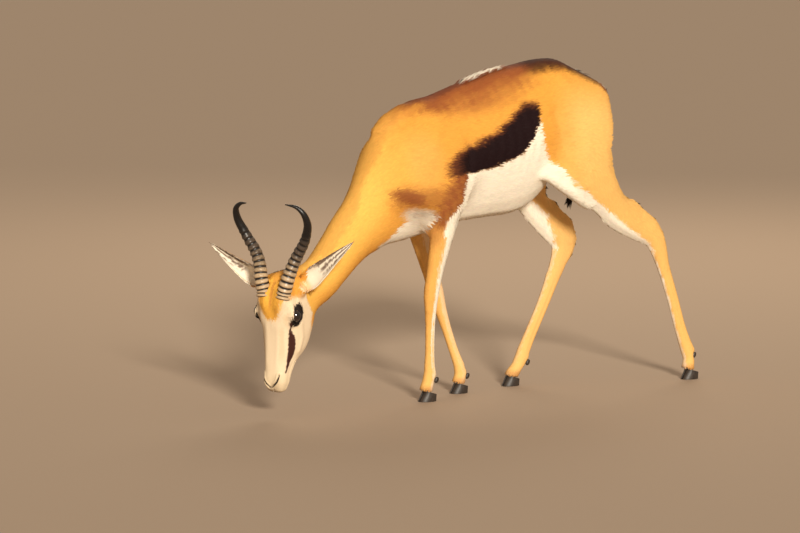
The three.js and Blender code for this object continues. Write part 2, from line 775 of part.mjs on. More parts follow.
// Lid around an eye: an almond of tube on the ball, its corners towards the nose and the ear
const LID = { along: 0.98, across: 0.74, thick: 2.6, steps: 16, sides: 5 };
function lid(centre, s) {
  const gaze = headWay(0.06, s * 0.88, 0.46).normalize();
  const along = UP_FACE.clone().addScaledVector(gaze, -UP_FACE.dot(gaze)).normalize();
  const across = V(0, 0, 0).crossVectors(gaze, along);
  const points = [];
  const index = [];
  for (let i = 0; i < LID.steps; i += 1) {
    const turn = (i / LID.steps) * 2 * Math.PI;
    const side = along.clone().multiplyScalar(Math.cos(turn)).addScaledVector(across, Math.sin(turn));
    const open = Math.hypot(Math.cos(turn) * LID.along, Math.sin(turn) * LID.across);
    const spoke = gaze.clone().multiplyScalar(Math.cos(open)).addScaledVector(side, Math.sin(open));
    const back = side.clone().multiplyScalar(Math.cos(open)).addScaledVector(gaze, -Math.sin(open));
    for (let k = 0; k < LID.sides; k += 1) {
      const angle = (k / LID.sides) * 2 * Math.PI;
      points.push(centre.clone()
        .addScaledVector(spoke, EYE.radius + 0.4 + Math.cos(angle) * LID.thick)
        .addScaledVector(back, 2.2 + Math.sin(angle) * LID.thick * 1.5));
      const next = (k + 1) % LID.sides;
      const a = i * LID.sides;
      const b = ((i + 1) % LID.steps) * LID.sides;
      index.push(a + k, b + next, a + next, a + k, b + k, b + next);
    }
  }
  return solid(points, index);
}

// Nostril: a slit that curls from the side of the nose down to its middle
const NOSTRIL = [
  [31, 17, 1.3, 1.3],
  [25, 16, 2.4, 2.6],
  [18, 12.5, 2.4, 2.4],
  [12, 8, 1.6, 1.5],
  [8, 3, 1, 1],
];
const nostril = (s) => tube(NOSTRIL.map(([u, v, a, b]) => [onFace(u, s * v, 0.4), a + 1.6, b]), OUT, 6);

// Mouth: a line from under the nose to its corner, with a lip along each side
const MOUTH = [[3, -22], [10, -25], [20, -27], [32, -30], [44, -35], [55, -41], [62, -46]];
const lipRows = (s, shift, sink, a, b) => MOUTH.map(([u, q], i) => {
  const taper = i === MOUTH.length - 1 ? 0.5 : 1;
  return [onSide(u + shift * 0.35, q + shift, s, sink), a * taper, b * taper];
});

function ball(centre, radius, wide = 16, high = 12) {
  return toSolid(new THREE.SphereGeometry(radius, wide, high).translate(centre.x, centre.y, centre.z));
}

for (const s of [1, -1]) {
  const name = s > 0 ? "left" : "right";
  const eyeCentre = headPoint(EYE.u, s * EYE.v, EYE.q);
  headSolid = headSolid.add(lid(eyeCentre, s));
  headSolid = headSolid.subtract(ball(eyeCentre, EYE.radius + GAP, 12, 9));
  for (const shift of [4.2, -4.2]) {
    headSolid = headSolid.add(tube(lipRows(s, shift, 1.6, 2.6, 3.4), UP_FACE, 6));
  }
  const groove = lipRows(s, 0, -0.5, 3.4, 0.9);
  headSolid = headSolid.subtract(tube(groove, ACROSS, 6));
  headSolid = headSolid.subtract(nostril(s));
  keep(`eye_${name}`, ball(eyeCentre, EYE.radius, 12, 9), "eye");
  const cut = hornWays[s];
  const horn = hornBody(s);
  keep(`horn_${name}`, trim(horn, cut, -1), "horn");
  headSolid = headSolid.subtract(plug(cut, 16, 19.5));
  headSolid = headSolid.subtract(trim(hornBody(s, 0.5), cut, -1));
  const { body, base, way } = earBody(s);
  const earCut = { at: base.clone().addScaledVector(way, 2), to: way };
  keep(`ear_${name}`, trim(body, earCut, -1), "tan");
  headSolid = headSolid.subtract(plug(earCut, 30, 17));
}
keep("head", headSolid, "white");

// A round block standing on a cut, to make a flat there
function plug(cut, length, radius) {
  const geometry = new THREE.CylinderGeometry(radius, radius, length, 20);
  geometry.rotateX(Math.PI / 2);
  const across = Math.abs(cut.to.y) < 0.9 ? Y : X;
  const a = V(0, 0, 0).crossVectors(across, cut.to).normalize();
  const b = V(0, 0, 0).crossVectors(cut.to, a);
  const at = cut.at.clone().addScaledVector(cut.to, length / 2 - GAP / 2);
  return toSolid(geometry.applyMatrix4(new THREE.Matrix4().makeBasis(a, b, cut.to).setPosition(at)));
}

// Legs and hooves
const HOOF = { long: 47, wide: 16, front: 30, back: 16, slope: 0.62 };

function clawRings(leg, e) {
  const sides = 10;
  const rings = [];
  for (const level of [0, 0.3, 1]) {
    const ring = [];
    for (let k = 0; k < sides; k += 1) {
      const angle = (k / sides) * 2 * Math.PI;
      const along = Math.cos(angle);
      const across = Math.sin(angle);
      const toe = clamp(along, 0, 1);
      const lateral = across > 0 ? 2 + (HOOF.wide - 1) * across ** 0.8 * (1 - 0.35 * toe) : 2 + 0.8 * toe;
      const t0 = (along * HOOF.long) / 2;
      const height = HOOF.back + ((t0 + HOOF.long / 2) / HOOF.long) * (HOOF.front - HOOF.back);
      const z = level * height;
      const lean = toe * z * HOOF.slope + (1 - toe) * z * 0.12;
      ring.push(V(leg.foot.x - (t0 - lean), leg.foot.y + e * lateral * (1 - 0.08 * level), z));
    }
    rings.push(ring);
  }
  return rings;
}

for (const leg of LEGS) {
  const centres = leg.stations.map((s) => s[0]);
  const fore = leg.upper === "fore";
  const top = fore
    ? centres[0].clone().lerp(centres[1], -0.35)
    : V(centres[0].x + 46, leg.side * 64, centres[0].z + 92);
  const thigh = V(centres[0].x + 34, leg.side * 78, centres[0].z + 34);
  const path = fore
    ? [top, ...centres.slice(1)]
    : [top, thigh, centres[1].clone().add(V(18, 0, -4)), ...centres.slice(2)];
  const spine = walk(path.slice(0, -1), 23);
  const field = (p) => Math.max(
    flesh(p),
    fore ? p.z - ELBOW_CUT.height - OVERRUN : -beyond(p, GROIN_CUT) - OVERRUN,
    fore && p.z > ELBOW_CUT.low ? ELBOW_CUT.inside - 6 - leg.side * p.y : 4 - leg.side * p.y,
  );
  let whole = wrap(field, spine, 12, X, { roundEnd: 1, most: 150 });
  if (fore) {
    whole = trim(whole, { at: V(0, 0, ELBOW_CUT.height), to: Z }, 1, GAP);
    const inner = ELBOW_CUT.inside + GAP;
    const { front, back, low, height } = ELBOW_CUT;
    whole = whole.subtract(block(V(front - SPREAD, -inner, low), V(back + SPREAD, inner, height)));
    whole = whole.subtract(block(V(front - SPREAD, -SPREAD, low), V(front + GAP, SPREAD, height)));
    whole = whole.subtract(block(V(back - GAP, -SPREAD, low), V(back + SPREAD, SPREAD, height)));
  } else {
    whole = trim(whole, GROIN_CUT, -1);
  }
  const along = (at) => {
    let best = 0;
    spine.forEach((p, i) => {
      if (p.distanceTo(at) < spine[best].distanceTo(at)) {
        best = i;
      }
    });
    const a = spine[Math.max(0, best - 1)];
    const b = spine[Math.min(spine.length - 1, best + 1)];
    return { at, to: b.clone().sub(a).normalize() };
  };
  const jointCut = along(leg.joint);
  const fetlockCut = along(leg.fetlock);
  const tilt = (HOOF.front - HOOF.back) / HOOF.long;
  const coronet = { at: V(leg.foot.x, 0, (HOOF.front + HOOF.back) / 2), to: V(-tilt, 0, -1).normalize() };
  const upper = trim(whole, jointCut);
  const cannon = trim(trim(whole, jointCut, -1), fetlockCut);
  let pastern = trim(trim(whole, fetlockCut, -1), coronet, 1, 0);
  for (const e of [-1, 1]) {
    const place = e === leg.side ? "outer" : "inner";
    const spur = leg.stations[leg.stations.length - 4][0].clone().add(V(13.5, e * 8.5, -10));
    const size = V(6, 4, 8.5);
    pastern = pastern.subtract(toSolid(new THREE.SphereGeometry(1, 8, 5)
      .scale(size.x + GAP, size.y + GAP, size.z + GAP).rotateY(0.5).translate(spur.x, spur.y, spur.z)));
    keep(`${leg.name}_dewclaw_${place}`, toSolid(new THREE.SphereGeometry(1, 8, 5)
      .scale(size.x, size.y, size.z).rotateY(0.5).translate(spur.x, spur.y, spur.z)), "hoof");
    const claw = loft(clawRings(leg, e));
    keep(`${leg.name}_hoof_${place}`, trim(claw, coronet, -1, GAP), "hoof");
  }
  keep(`${leg.name}_upper`, upper, "tan");
  keep(`${leg.name}_cannon`, cannon, "tan");
  keep(`${leg.name}_pastern`, pastern, "white");
}

// Tail
const TAIL = [
  [V(516, 0, 703), 13],
  [V(530, 2, 694), 12.5],
  [V(537, 8, 668), 10],
  [V(540, 18, 632), 8],
  [V(540, 38, 588), 6.5],
  [V(538, 66, 534), 5.5],
  [V(535, 92, 488), 7],
  [V(532, 112, 452), 6],
  [V(530, 122, 432), 2.5],
];
const tailCurve = new THREE.CatmullRomCurve3(TAIL.map((t) => t[0]), false, "centripetal");
const tailRings = [];
for (let i = 0; i <= 24; i += 1) {
  const t = i / 24;
  const row = t * (TAIL.length - 1);
  const j = Math.min(TAIL.length - 2, Math.floor(row));
  const radius = mix(TAIL[j][1], TAIL[j + 1][1], row - j);
  const centre = tailCurve.getPoint(t);
  const tangent = tailCurve.getTangent(t);
  const deep = X.clone().addScaledVector(tangent, -X.dot(tangent)).normalize();
  const wide = V(0, 0, 0).crossVectors(tangent, deep);
  tailRings.push(Array.from({ length: 10 }, (_, k) => {
    const angle = (k / 10) * 2 * Math.PI;
    return onRing(centre, deep, wide, angle, radius * 0.8, radius);
  }));
}
let tail = trim(loft(tailRings), TAIL_CUT, -1);

// Tuft: flat tapered locks that overlap along the last third of the tail
const TUFT = { locks: 8, from: 0.64, to: 0.94, long: 76, wide: 6.5, thick: 1.8 };
for (let i = 0; i < TUFT.locks; i += 1) {
  const t = mix(TUFT.from, TUFT.to, i / (TUFT.locks - 1));
  const start = tailCurve.getPoint(t);
  const along = tailCurve.getTangent(t);
  const turn = i * 2.4;
  const side = V(Math.cos(turn), 0.6 * Math.sin(turn), 0.8 * Math.sin(turn)).normalize();
  const face = V(0, 0, 0).crossVectors(along, side).normalize();
  const long = TUFT.long * (0.8 + 0.2 * Math.sin(i * 1.7));
  const rows = [0, 0.3, 0.65, 1].map((f) => {
    const centre = start.clone().addScaledVector(along, long * f * 0.82)
      .addScaledVector(side, 2.5 + 7 * f * (1 - 0.4 * f))
      .addScaledVector(Z, -18 * f * f);
    const width = f === 1 ? 0.5 : TUFT.wide * (1 - 0.35 * f);
    return [centre, width, f === 1 ? 0.4 : TUFT.thick];
  });
  tail = tail.add(tube(rows, face.cross(along), 6));
}
keep("tail", tail, "white");

// Place everything about the middle of its footprint, on the floor
const made = pieces.map(({ name, body, material }) => {
  const mesh = body.getMesh();
  const geometry = new THREE.BufferGeometry();
  geometry.setAttribute("position", new THREE.Float32BufferAttribute(mesh.vertProperties, 3));
  geometry.setIndex(new THREE.BufferAttribute(Uint32Array.from(mesh.triVerts), 1));
  return { name, geometry, material };
});
const bounds = new THREE.Box3();
for (const { geometry } of made) {
  geometry.computeBoundingBox();
  bounds.union(geometry.boundingBox);
}
const middle = bounds.getCenter(V(0, 0, 0));
for (const { name, geometry, material } of made) {
  geometry.translate(-middle.x, -middle.y, -bounds.min.z);
  geometry.computeVertexNormals();
  const [color, roughness] = MATERIALS[material];
  const mesh = new THREE.Mesh(geometry, new THREE.MeshStandardMaterial({ color, roughness, metalness: 0 }));
  mesh.name = name;
  root.add(mesh);
}

export default root;
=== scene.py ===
# %% [markdown]
# # A springbok that drinks
# This script dresses the imported solids of a life-size springbok. The solids give the shape and the size,
# and stay where they are. Here one smooth skin takes the place of all the parts of flesh, short hair is
# laid on it, and the horns, hooves and eyes get their finish. Every cell makes one thing, and many of them
# print what they made.

import json
import math

import bmesh
import bpy
import numpy as np
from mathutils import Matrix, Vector

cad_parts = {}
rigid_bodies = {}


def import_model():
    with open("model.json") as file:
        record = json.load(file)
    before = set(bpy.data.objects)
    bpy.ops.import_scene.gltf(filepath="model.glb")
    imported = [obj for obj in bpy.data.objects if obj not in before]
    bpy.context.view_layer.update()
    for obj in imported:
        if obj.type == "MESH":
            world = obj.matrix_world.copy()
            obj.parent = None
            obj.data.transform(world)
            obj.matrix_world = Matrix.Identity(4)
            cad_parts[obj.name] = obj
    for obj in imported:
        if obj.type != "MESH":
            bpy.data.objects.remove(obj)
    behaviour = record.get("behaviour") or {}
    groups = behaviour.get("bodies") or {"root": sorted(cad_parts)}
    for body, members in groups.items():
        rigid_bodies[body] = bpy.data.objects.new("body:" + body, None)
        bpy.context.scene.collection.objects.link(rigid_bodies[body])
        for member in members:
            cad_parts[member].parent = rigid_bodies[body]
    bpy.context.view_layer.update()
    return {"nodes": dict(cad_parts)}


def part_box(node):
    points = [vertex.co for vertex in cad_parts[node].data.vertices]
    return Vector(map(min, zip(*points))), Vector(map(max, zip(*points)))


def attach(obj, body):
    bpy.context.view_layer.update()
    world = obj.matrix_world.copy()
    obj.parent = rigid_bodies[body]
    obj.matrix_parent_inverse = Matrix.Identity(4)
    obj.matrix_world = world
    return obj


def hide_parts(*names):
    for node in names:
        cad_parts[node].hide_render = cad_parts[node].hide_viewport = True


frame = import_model()
chance = np.random.default_rng(11)
print("solids:", len(frame["nodes"]))

# %% [markdown]
# ## One measure for the whole animal
# The frame is in metres about the middle of the animal. A modeller would rather measure from a foot, so
# places below are in millimetres from the left forefoot: x to the rear, y to the animal's right, z up. The
# low corner of the outer claw of that foot is known in both measures, and it ties them together.

# %% Measures
CLAW_CORNER = np.array([-27.5, -36.41, 0.0])
claw_low = np.array(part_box("foreleg_left_hoof_outer")[0])
SHIFT = claw_low * 1000 - CLAW_CORNER


def metres(places):
    """Places in the animal's own millimetres, as metres in the frame."""
    return (np.asarray(places, float) + SHIFT) / 1000


def millimetres(points):
    return np.asarray(points, float) * 1000 - SHIFT


def unit(v):
    v = np.asarray(v, float)
    return v / np.maximum(np.linalg.norm(v, axis=-1, keepdims=True), 1e-9)


def ramp(x, start, end):
    """0 before start, 1 after end, smooth between."""
    t = np.clip((x - start) / (end - start), 0, 1)
    return t * t * (3 - 2 * t)


def mix(a, b, t):
    return a + (b - a) * t


print("shift of the measure, mm:", SHIFT.round(2))

# %% [markdown]
# The head has its own directions: up the face from the nose to the poll, across to the animal's left, and
# out of the face. A place on the head is easier to name by these three than by x, y and z.

# %% Head measure
NOSE = np.array([-443.0, -30.0, 62.0])
UP_FACE = unit([-0.062, -0.085, 0.994])
OUT = unit([-0.892, -0.421, -0.0916])
ACROSS = unit(np.cross(UP_FACE, OUT))
HEAD = np.array([UP_FACE, ACROSS, OUT])


def on_head(u, v, q):
    return NOSE + np.array([u, v, q], float) @ HEAD


def head_measure(p):
    return (p - NOSE) @ HEAD.T


EYE = {"place": (176, 44, -24), "radius": 16.2}


def eye_centre(side):
    """Centre of an eyeball. side is 1 for the animal's left and -1 for its right."""
    u, v, q = EYE["place"]
    return on_head(u, side * v, q)


print("left eye at", eye_centre(1).round())

# %% [markdown]
# ## The lines that the body hangs on
# Hair lies along the body, and the skin is unrolled along it too. Both need to know, for any point, which
# part of the body it is on and which way that part runs. A few lines through the body are enough: each runs
# the way that the hair lies, from the nose to the tail and down the legs.

# %% Lines through the body
LINES = {
    "head": [on_head(u, 0, -52) for u in (-6, 60, 120, 180, 232)],
    "neck": [(-352, -25, 292), (-318, -25, 304), (-286, -22, 332), (-252, -19, 366), (-217, -15, 399),
             (-177, -8, 427), (-139, -3, 456), (-100, -1, 491), (-62, 0, 526)],
    "trunk": [(-20, 0, 560), (60, 0, 575), (140, 0, 590), (220, 0, 600), (300, 0, 625), (380, 0, 655),
              (450, 0, 680), (500, 0, 690)],
    "foreleg_left": [(14, -74, 452), (-2, -62, 350), (-13, -50, 256), (-12, -46, 225), (-9, -40, 180),
                     (-5, -33, 120), (1, -25, 60), (-4, -23, 42), (-11, -20, 0)],
    "foreleg_right": [(26, 75, 449), (55, 64, 335), (80, 55, 235), (89, 53, 203), (106, 50, 152),
                      (125, 47, 98), (143, 45, 50), (140, 45, 36), (131, 45, 0)],
    "hindleg_left": [(425, -72, 620), (405, -88, 540), (448, -93, 466), (509, -91, 415), (568, -89, 377),
                     (613, -88, 353), (632, -88, 319), (653, -87, 268), (679, -87, 198), (704, -86, 125),
                     (728, -86, 68), (730, -87, 48), (723, -88, 0)],
    "hindleg_right": [(375, 72, 625), (320, 84, 535), (340, 84, 478), (388, 81, 425), (430, 79, 378),
                      (469, 78, 337), (462, 77, 296), (438, 76, 244), (407, 75, 182), (370, 75, 114),
                      (345, 74, 63), (331, 73, 44), (305, 72, 0)],
    "tail": [(516, 0, 703), (530, 2, 694), (537, 8, 668), (540, 18, 632), (540, 38, 588), (538, 66, 534),
             (535, 92, 488), (532, 112, 452), (530, 122, 432)],
}
EAR = {"base": (233, 46, -46), "left": (118, 123, -30), "right": (76, -139, 0), "long": 170}


def ear_way(name):
    return unit(np.array(EAR[name], float) @ HEAD)


def ear_base(name):
    u, v, q = EAR["base"]
    return on_head(u, v if name == "left" else -v, q)


for ear in ("left", "right"):
    LINES[f"ear_{ear}"] = [ear_base(ear) + ear_way(ear) * d for d in (0, 60, 120, EAR["long"])]

REACH = {"head": 55, "neck": 55, "trunk": 100, "tail": 12, "ear_left": 16, "ear_right": 16}
LEG_REACH = 30


def walk(points, step):
    """Points every step along a line, with the way it runs and how far along each is."""
    points = np.array(points, float)
    legs = np.linalg.norm(np.diff(points, axis=0), axis=1)
    reached = np.concatenate([[0], np.cumsum(legs)])
    along = np.linspace(0, reached[-1], max(2, int(reached[-1] / step) + 1))
    places = np.column_stack([np.interp(along, reached, points[:, k]) for k in range(3)])
    return places, unit(np.gradient(places, axis=0)), along


stops = {"at": [], "way": [], "along": [], "line": [], "reach": []}
for number, (name, points) in enumerate(LINES.items()):
    places, ways, along = walk(points, 14)
    stops["at"].append(places)
    stops["way"].append(ways)
    stops["along"].append(along)
    stops["line"].append(np.full(len(along), number))
    stops["reach"].append(np.full(len(along), REACH.get(name, LEG_REACH)))
stops = {key: np.concatenate(value) for key, value in stops.items()}
LINE_NAMES = list(LINES)
print("stops along the body:", len(stops["along"]))


def on_lines(line, *names):
    """Which points are on the named lines, from the number of each point's line."""
    return np.isin(line, [LINE_NAMES.index(name) for name in names])


def nearest_stop(p):
    """Number of the nearest stop for each point, measured in widths of its part, and the lie of the hair."""
    near = np.zeros(len(p), int)
    lie = np.zeros((len(p), 3))
    for start in range(0, len(p), 20000):
        part = slice(start, start + 20000)
        gap = np.linalg.norm(p[part, None] - stops["at"][None], axis=2) / stops["reach"][None]
        near[part] = gap.argmin(1)
        weight = 1 / (gap + 0.15) ** 6
        lie[part] = (weight[:, :, None] * stops["way"][None]).sum(1) / weight.sum(1)[:, None]
    return near, unit(lie)


# %% [markdown]
# ## Gather the flesh
# The solids of flesh are parted by thin cuts. Copies of them are grown by half a millimetre so that they
# overlap, and a voxel remesh turns the heap into one closed surface. Where an eye or a horn is set in, a
# ball fills the hollow first, so that the skin runs smoothly over it and can be shaped afterwards.

# %% Copies of the flesh
LEGS = ["foreleg_left", "foreleg_right", "hindleg_left", "hindleg_right"]
LEG_PARTS = ["upper", "cannon", "pastern"]
FLESH = ["torso", "neck", "head"] + [f"{leg}_{part}" for leg in LEGS for part in LEG_PARTS]
GROW = 0.0005
WELD = 0.00002
heap = bmesh.new()
for name in FLESH:
    heap.from_mesh(frame["nodes"][name].data)
bmesh.ops.remove_doubles(heap, verts=heap.verts, dist=WELD)
bmesh.ops.recalc_face_normals(heap, faces=heap.faces)
heap.normal_update()
for v in heap.verts:
    v.co += v.normal * GROW
print("faces of flesh:", len(heap.faces))


# %% Fillings
def add_ball(place, sizes, ways=None):
    """An egg in the heap. sizes are half sizes in millimetres along ways."""
    ways = np.eye(3) if ways is None else np.array(ways)
    made = bmesh.ops.create_icosphere(heap, subdivisions=3, radius=1)
    for v in made["verts"]:
        v.co = Vector(metres(place + (np.array(v.co) * sizes) @ ways))


def add_tube(places, radii, sides=16):
    """A closed tube in the heap along places."""
    places = np.array(places, float)
    ways = unit(np.gradient(places, axis=0))
    rings = []
    for place, way, radius in zip(places, ways, radii):
        a = unit(np.cross(way, [0.3, 1, 0.2]))
        b = np.cross(way, a)
        turn = np.linspace(0, 2 * np.pi, sides, endpoint=False)
        ring = place + radius * (np.cos(turn)[:, None] * a + np.sin(turn)[:, None] * b)
        rings.append([heap.verts.new(metres(p)) for p in ring])
    for low, high in zip(rings, rings[1:]):
        for k in range(sides):
            n = (k + 1) % sides
            heap.faces.new((low[k], low[n], high[n], high[k]))
    heap.faces.new(rings[0][::-1])
    heap.faces.new(rings[-1])


TAIL_RADII = [13, 12, 9.5, 7.5, 6, 4.8, 4, 3.4, 2]
TAIL_ROOT = (490, 0, 700)
RIGHT_THIGH = [(352, 84, 560), (372, 86, 520), (396, 84, 474)]
# the fold of skin that runs from the belly to the left knee, and the flesh above it
KNEE_FOLD = [(282, -76, 520), (306, -82, 508), (340, -86, 488), (378, -88, 466), (420, -92, 446)]
KNEE_FOLD_TOP = [(292, -76, 540), (330, -82, 524), (370, -87, 504), (412, -90, 484)]
WITHERS = [(-137, 0, 616), (-100, 0, 648), (-60, 0, 670), (-10, 0, 676)]
for side in (1, -1):
    add_ball(eye_centre(side), (17, 14.5, 17), HEAD)
    add_ball(on_head(232, side * 28, -16), (14, 17, 17), HEAD)
    ear = "left" if side > 0 else "right"
    add_tube([ear_base(ear) + ear_way(ear) * d for d in (-26, -12, 2, 10)], (18, 21, 19, 13))
add_tube([TAIL_ROOT] + LINES["tail"], [14] + TAIL_RADII)
add_ball(on_head(222, 0, -30), (30, 34, 34), HEAD)
add_tube(RIGHT_THIGH, (26, 26, 20))
add_tube(KNEE_FOLD, (12, 14, 17, 20, 22))
add_tube(KNEE_FOLD_TOP, (14, 22, 24, 22))
add_tube(WITHERS, (25, 29, 28, 25))
print("faces with the fillings:", len(heap.faces))

# %% [markdown]
# ## Weld, smooth and refine
# A voxel remesh gives small even faces everywhere. Smoothing then moves each point towards the middle of
# its neighbours: often on the broad trunk, where the solids are coarse, and seldom on the head and the slim
# legs. The head's faces are split once, because lids and nostrils need finer ones.

# %% Weld
VOXEL = 0.0026


def new_mesh(name, build):
    mesh = bpy.data.meshes.new(name)
    build.to_mesh(mesh)
    build.free()
    return mesh


def object_of(name, mesh):
    piece = bpy.data.objects.new(name, mesh)
    bpy.context.scene.collection.objects.link(piece)
    return piece


skin = object_of("skin", new_mesh("skin", heap))
weld = skin.modifiers.new("weld", "REMESH")
weld.mode = "VOXEL"
weld.voxel_size = VOXEL
bpy.context.view_layer.update()
welded = bpy.data.meshes.new_from_object(skin.evaluated_get(bpy.context.evaluated_depsgraph_get()))
skin.modifiers.clear()
skin.data = welded
print("welded faces:", len(welded.polygons))


# %% Read and write points
def read_points(mesh):
    flat = np.zeros(len(mesh.vertices) * 3)
    mesh.vertices.foreach_get("co", flat)
    return flat.reshape(-1, 3)


def read_normals(mesh):
    flat = np.zeros(len(mesh.vertices) * 3)
    mesh.vertex_normals.foreach_get("vector", flat)
    return flat.reshape(-1, 3)


def read_edges(mesh):
    flat = np.zeros(len(mesh.edges) * 2, int)
    mesh.edges.foreach_get("vertices", flat)
    return flat.reshape(-1, 2)


def write_points(mesh, points):
    mesh.vertices.foreach_set("co", np.asarray(points, float).ravel())
    mesh.update()


def smooth(points, edges, passes, force=0.5):
    """Moves each point towards its neighbours' middle, as many times as its own entry in passes says."""
    here, there = np.concatenate([edges, edges[:, ::-1]]).T
    count = np.bincount(here, minlength=len(points))[:, None]
    for turn in range(int(passes.max())):
        sums = [np.bincount(here, points[there, k], len(points)) for k in range(3)]
        middle = np.column_stack(sums) / count
        active = (passes > turn)[:, None] * force
        points = points + (middle - points) * active
    return points


# %% Keep one surface and split the head's faces
def refine(mesh, chosen):
    """Splits the faces whose points are all chosen, and drops closed bubbles inside."""
    build = bmesh.new()
    build.from_mesh(mesh)
    build.verts.ensure_lookup_table()
    for vert in build.verts:
        vert.tag = False
    first = max(build.verts, key=lambda vert: vert.co.z)
    first.tag = True
    queue = [first]
    while queue:
        vert = queue.pop()
        for edge in vert.link_edges:
            other = edge.other_vert(vert)
            if not other.tag:
                other.tag = True
                queue.append(other)
    loose = [vert for vert in build.verts if not vert.tag]
    edges = []
    for edge in build.edges:
        one, other = edge.verts
        if one.tag and chosen[one.index] and chosen[other.index]:
            edges.append(edge)
    print("points of bubbles dropped:", len(loose), "edges split:", len(edges))
    bmesh.ops.delete(build, geom=loose, context="VERTS")
    bmesh.ops.subdivide_edges(build, edges=edges, cuts=1, use_grid_fill=True)
    return new_mesh("skin", build)


points = millimetres(read_points(skin.data))
near, lie = nearest_stop(points)
line_of = stops["line"][near]
is_head = on_lines(line_of, "head", "ear_left", "ear_right")
is_leg = on_lines(line_of, *LEGS)
uvq = head_measure(points)
HEAD_PASSES = 7
TAIL_PASSES = 6
LEG_PASSES = 11
THIGH_PASSES = 34
TRUNK_PASSES = 46
LEG_TOP = 400
passes = np.full(len(points), TRUNK_PASSES)
passes[is_leg] = LEG_PASSES
passes[is_leg & (points[:, 2] > LEG_TOP)] = THIGH_PASSES
passes[on_lines(line_of, "tail")] = TAIL_PASSES
passes[is_head] = HEAD_PASSES
points = smooth(points, read_edges(skin.data), passes)
write_points(skin.data, metres(points))
skin.data = refine(skin.data, is_head & (uvq[:, 0] < 250) & (uvq[:, 2] > -150))
print("skin faces:", len(skin.data.polygons))

# %% [markdown]
# ## Shape the skin
# Muscles, folds and bones under the skin are long swellings and grooves. Each is a line on the body with a
# width and a height, and a point moves in or out by how near it is to the line. It is quick, and every line
# can be named for what it is.


# %% Lines that raise or sink the skin
def line_distance(p, line):
    """Distance from each point to a broken line, in millimetres."""
    line = np.array(line, float)
    best = np.full(len(p), 1e9)
    for a, b in zip(line, line[1:]):
        d = b - a
        t = np.clip(((p - a) @ d) / (d @ d), 0, 1)[:, None]
        best = np.minimum(best, np.linalg.norm(p - a - t * d, axis=1))
    return best


def swell(p, line, width, height):
    return height * np.exp(-((line_distance(p, line) / width) ** 2))


FORMS = [
    # groove behind the shoulder and triceps, spine and edges of the shoulder blade
    ([(62, -92, 600), (66, -98, 540), (58, -96, 480), (40, -92, 440)], 13, -4.5),
    ([(6, -58, 660), (-34, -80, 590), (-66, -84, 520)], 12, 3.5),
    ([(-20, -66, 640), (-72, -72, 566), (-98, -66, 520)], 10, -3.0),
    ([(30, -84, 560), (22, -92, 500)], 14, 2.5),
    ([(-40, -92, 498), (0, -96, 470)], 10, -2.5),
    # sides of the nape in front of the withers
    ([(-152, -24, 622), (-142, -44, 606)], 20, -7.0),
    # hip point, groove in front of the thigh, stifle fold, groove down the back of the thigh
    ([(352, -62, 742), (372, -72, 716)], 13, 4.0),
    ([(318, -96, 660), (338, -98, 590), (352, -98, 530)], 15, -4.5),
    ([(300, -84, 600), (322, -88, 520), (352, -92, 480)], 8, 2.2),
    ([(452, -82, 660), (440, -100, 590), (440, -104, 520)], 13, -3.2),
    ([(400, -100, 620), (392, -108, 560)], 22, 3.0),
    # muscles of the gaskin
    ([(452, -106, 492), (520, -104, 440), (570, -100, 405)], 7, -1.6),
]
RIBS = [([(x, -96, 660), (x + 14, -104, 590), (x + 4, -100, 520), (x - 22, -88, 462)], 8, 1.1)
        for x in range(92, 262, 27)]
mirrored = [([(x, -y, z) for x, y, z in line], w, h) for line, w, h in FORMS + RIBS]


def leg_forms(leg):
    """Tendon behind the cannon, groove beside it, knee or hock and fetlock."""
    line = np.array(LINES[leg], float)
    side = -1 if "left" in leg else 1
    low = line[-6:-2]
    back = np.array([6.5, 0, 0])
    forms = []
    for s in (-1, 1):
        forms.append((low + back * 0.3 + [0, s * 10, 0], 3.4, -1.6))
    forms.append((low + back * 2.1, 3.6, 1.1))
    top = line[-6]
    forms.append(([top + [-13, side * 4, 14], top + [-13, side * 4, -6]], 7, 1.4))
    forms.append(([line[-3] + [13, -7, 2], line[-3] + [13, 7, 2]], 6, 1.6))
    return forms


ALL_FORMS = FORMS + RIBS + mirrored + [form for leg in LEGS for form in leg_forms(leg)]
print("forms of the body:", len(ALL_FORMS))

# %% [markdown]
# The head is shaped in its own measure. The eye is an almond: inside it the skin sinks behind the eyeball,
# at its edge the lids lie on the ball, and beyond them the folds fade into the face. Nostrils and mouth are
# lines that sink, each with a soft edge that rises beside it.

# %% Eyes in the skin
LID = {"along": 1.0, "across": 0.66, "sunk": 5.0, "fold": 2.4, "fade": 2.1}
# size of the skin's ball round the eye, beyond the eyeball's own, from the middle of the lids outwards
LID_RISE = [(0, -LID["sunk"]), (0.88, -LID["sunk"]), (1.0, 0.9), (1.12, 2.2), (1.35, 2.0), (1.6, LID["fold"])]
LID_END = 1.25
EYE_REACH = 34


def eye_ways(side):
    """Where the eye looks, and two directions across it: up the face, and over its width."""
    gaze = unit(ACROSS * side * 0.88 + OUT * 0.46 + UP_FACE * 0.06)
    along = unit(UP_FACE - gaze * (UP_FACE @ gaze))
    return gaze, along, np.cross(gaze, along)


def eye_measure(p, side):
    """How far round the eye each point is, where 1 is the edge of the lids, and its way from the centre."""
    gaze, along, across = eye_ways(side)
    d = p - eye_centre(side)
    far = np.linalg.norm(d, axis=1)
    ahead = d @ gaze
    a = np.arctan2(d @ along, ahead)
    b = np.arctan2(d @ across, ahead)
    corner = np.where(a < 0, 1.12, 1.0)
    return np.hypot(a / (LID["along"] * corner), b / LID["across"]), far, d, ahead


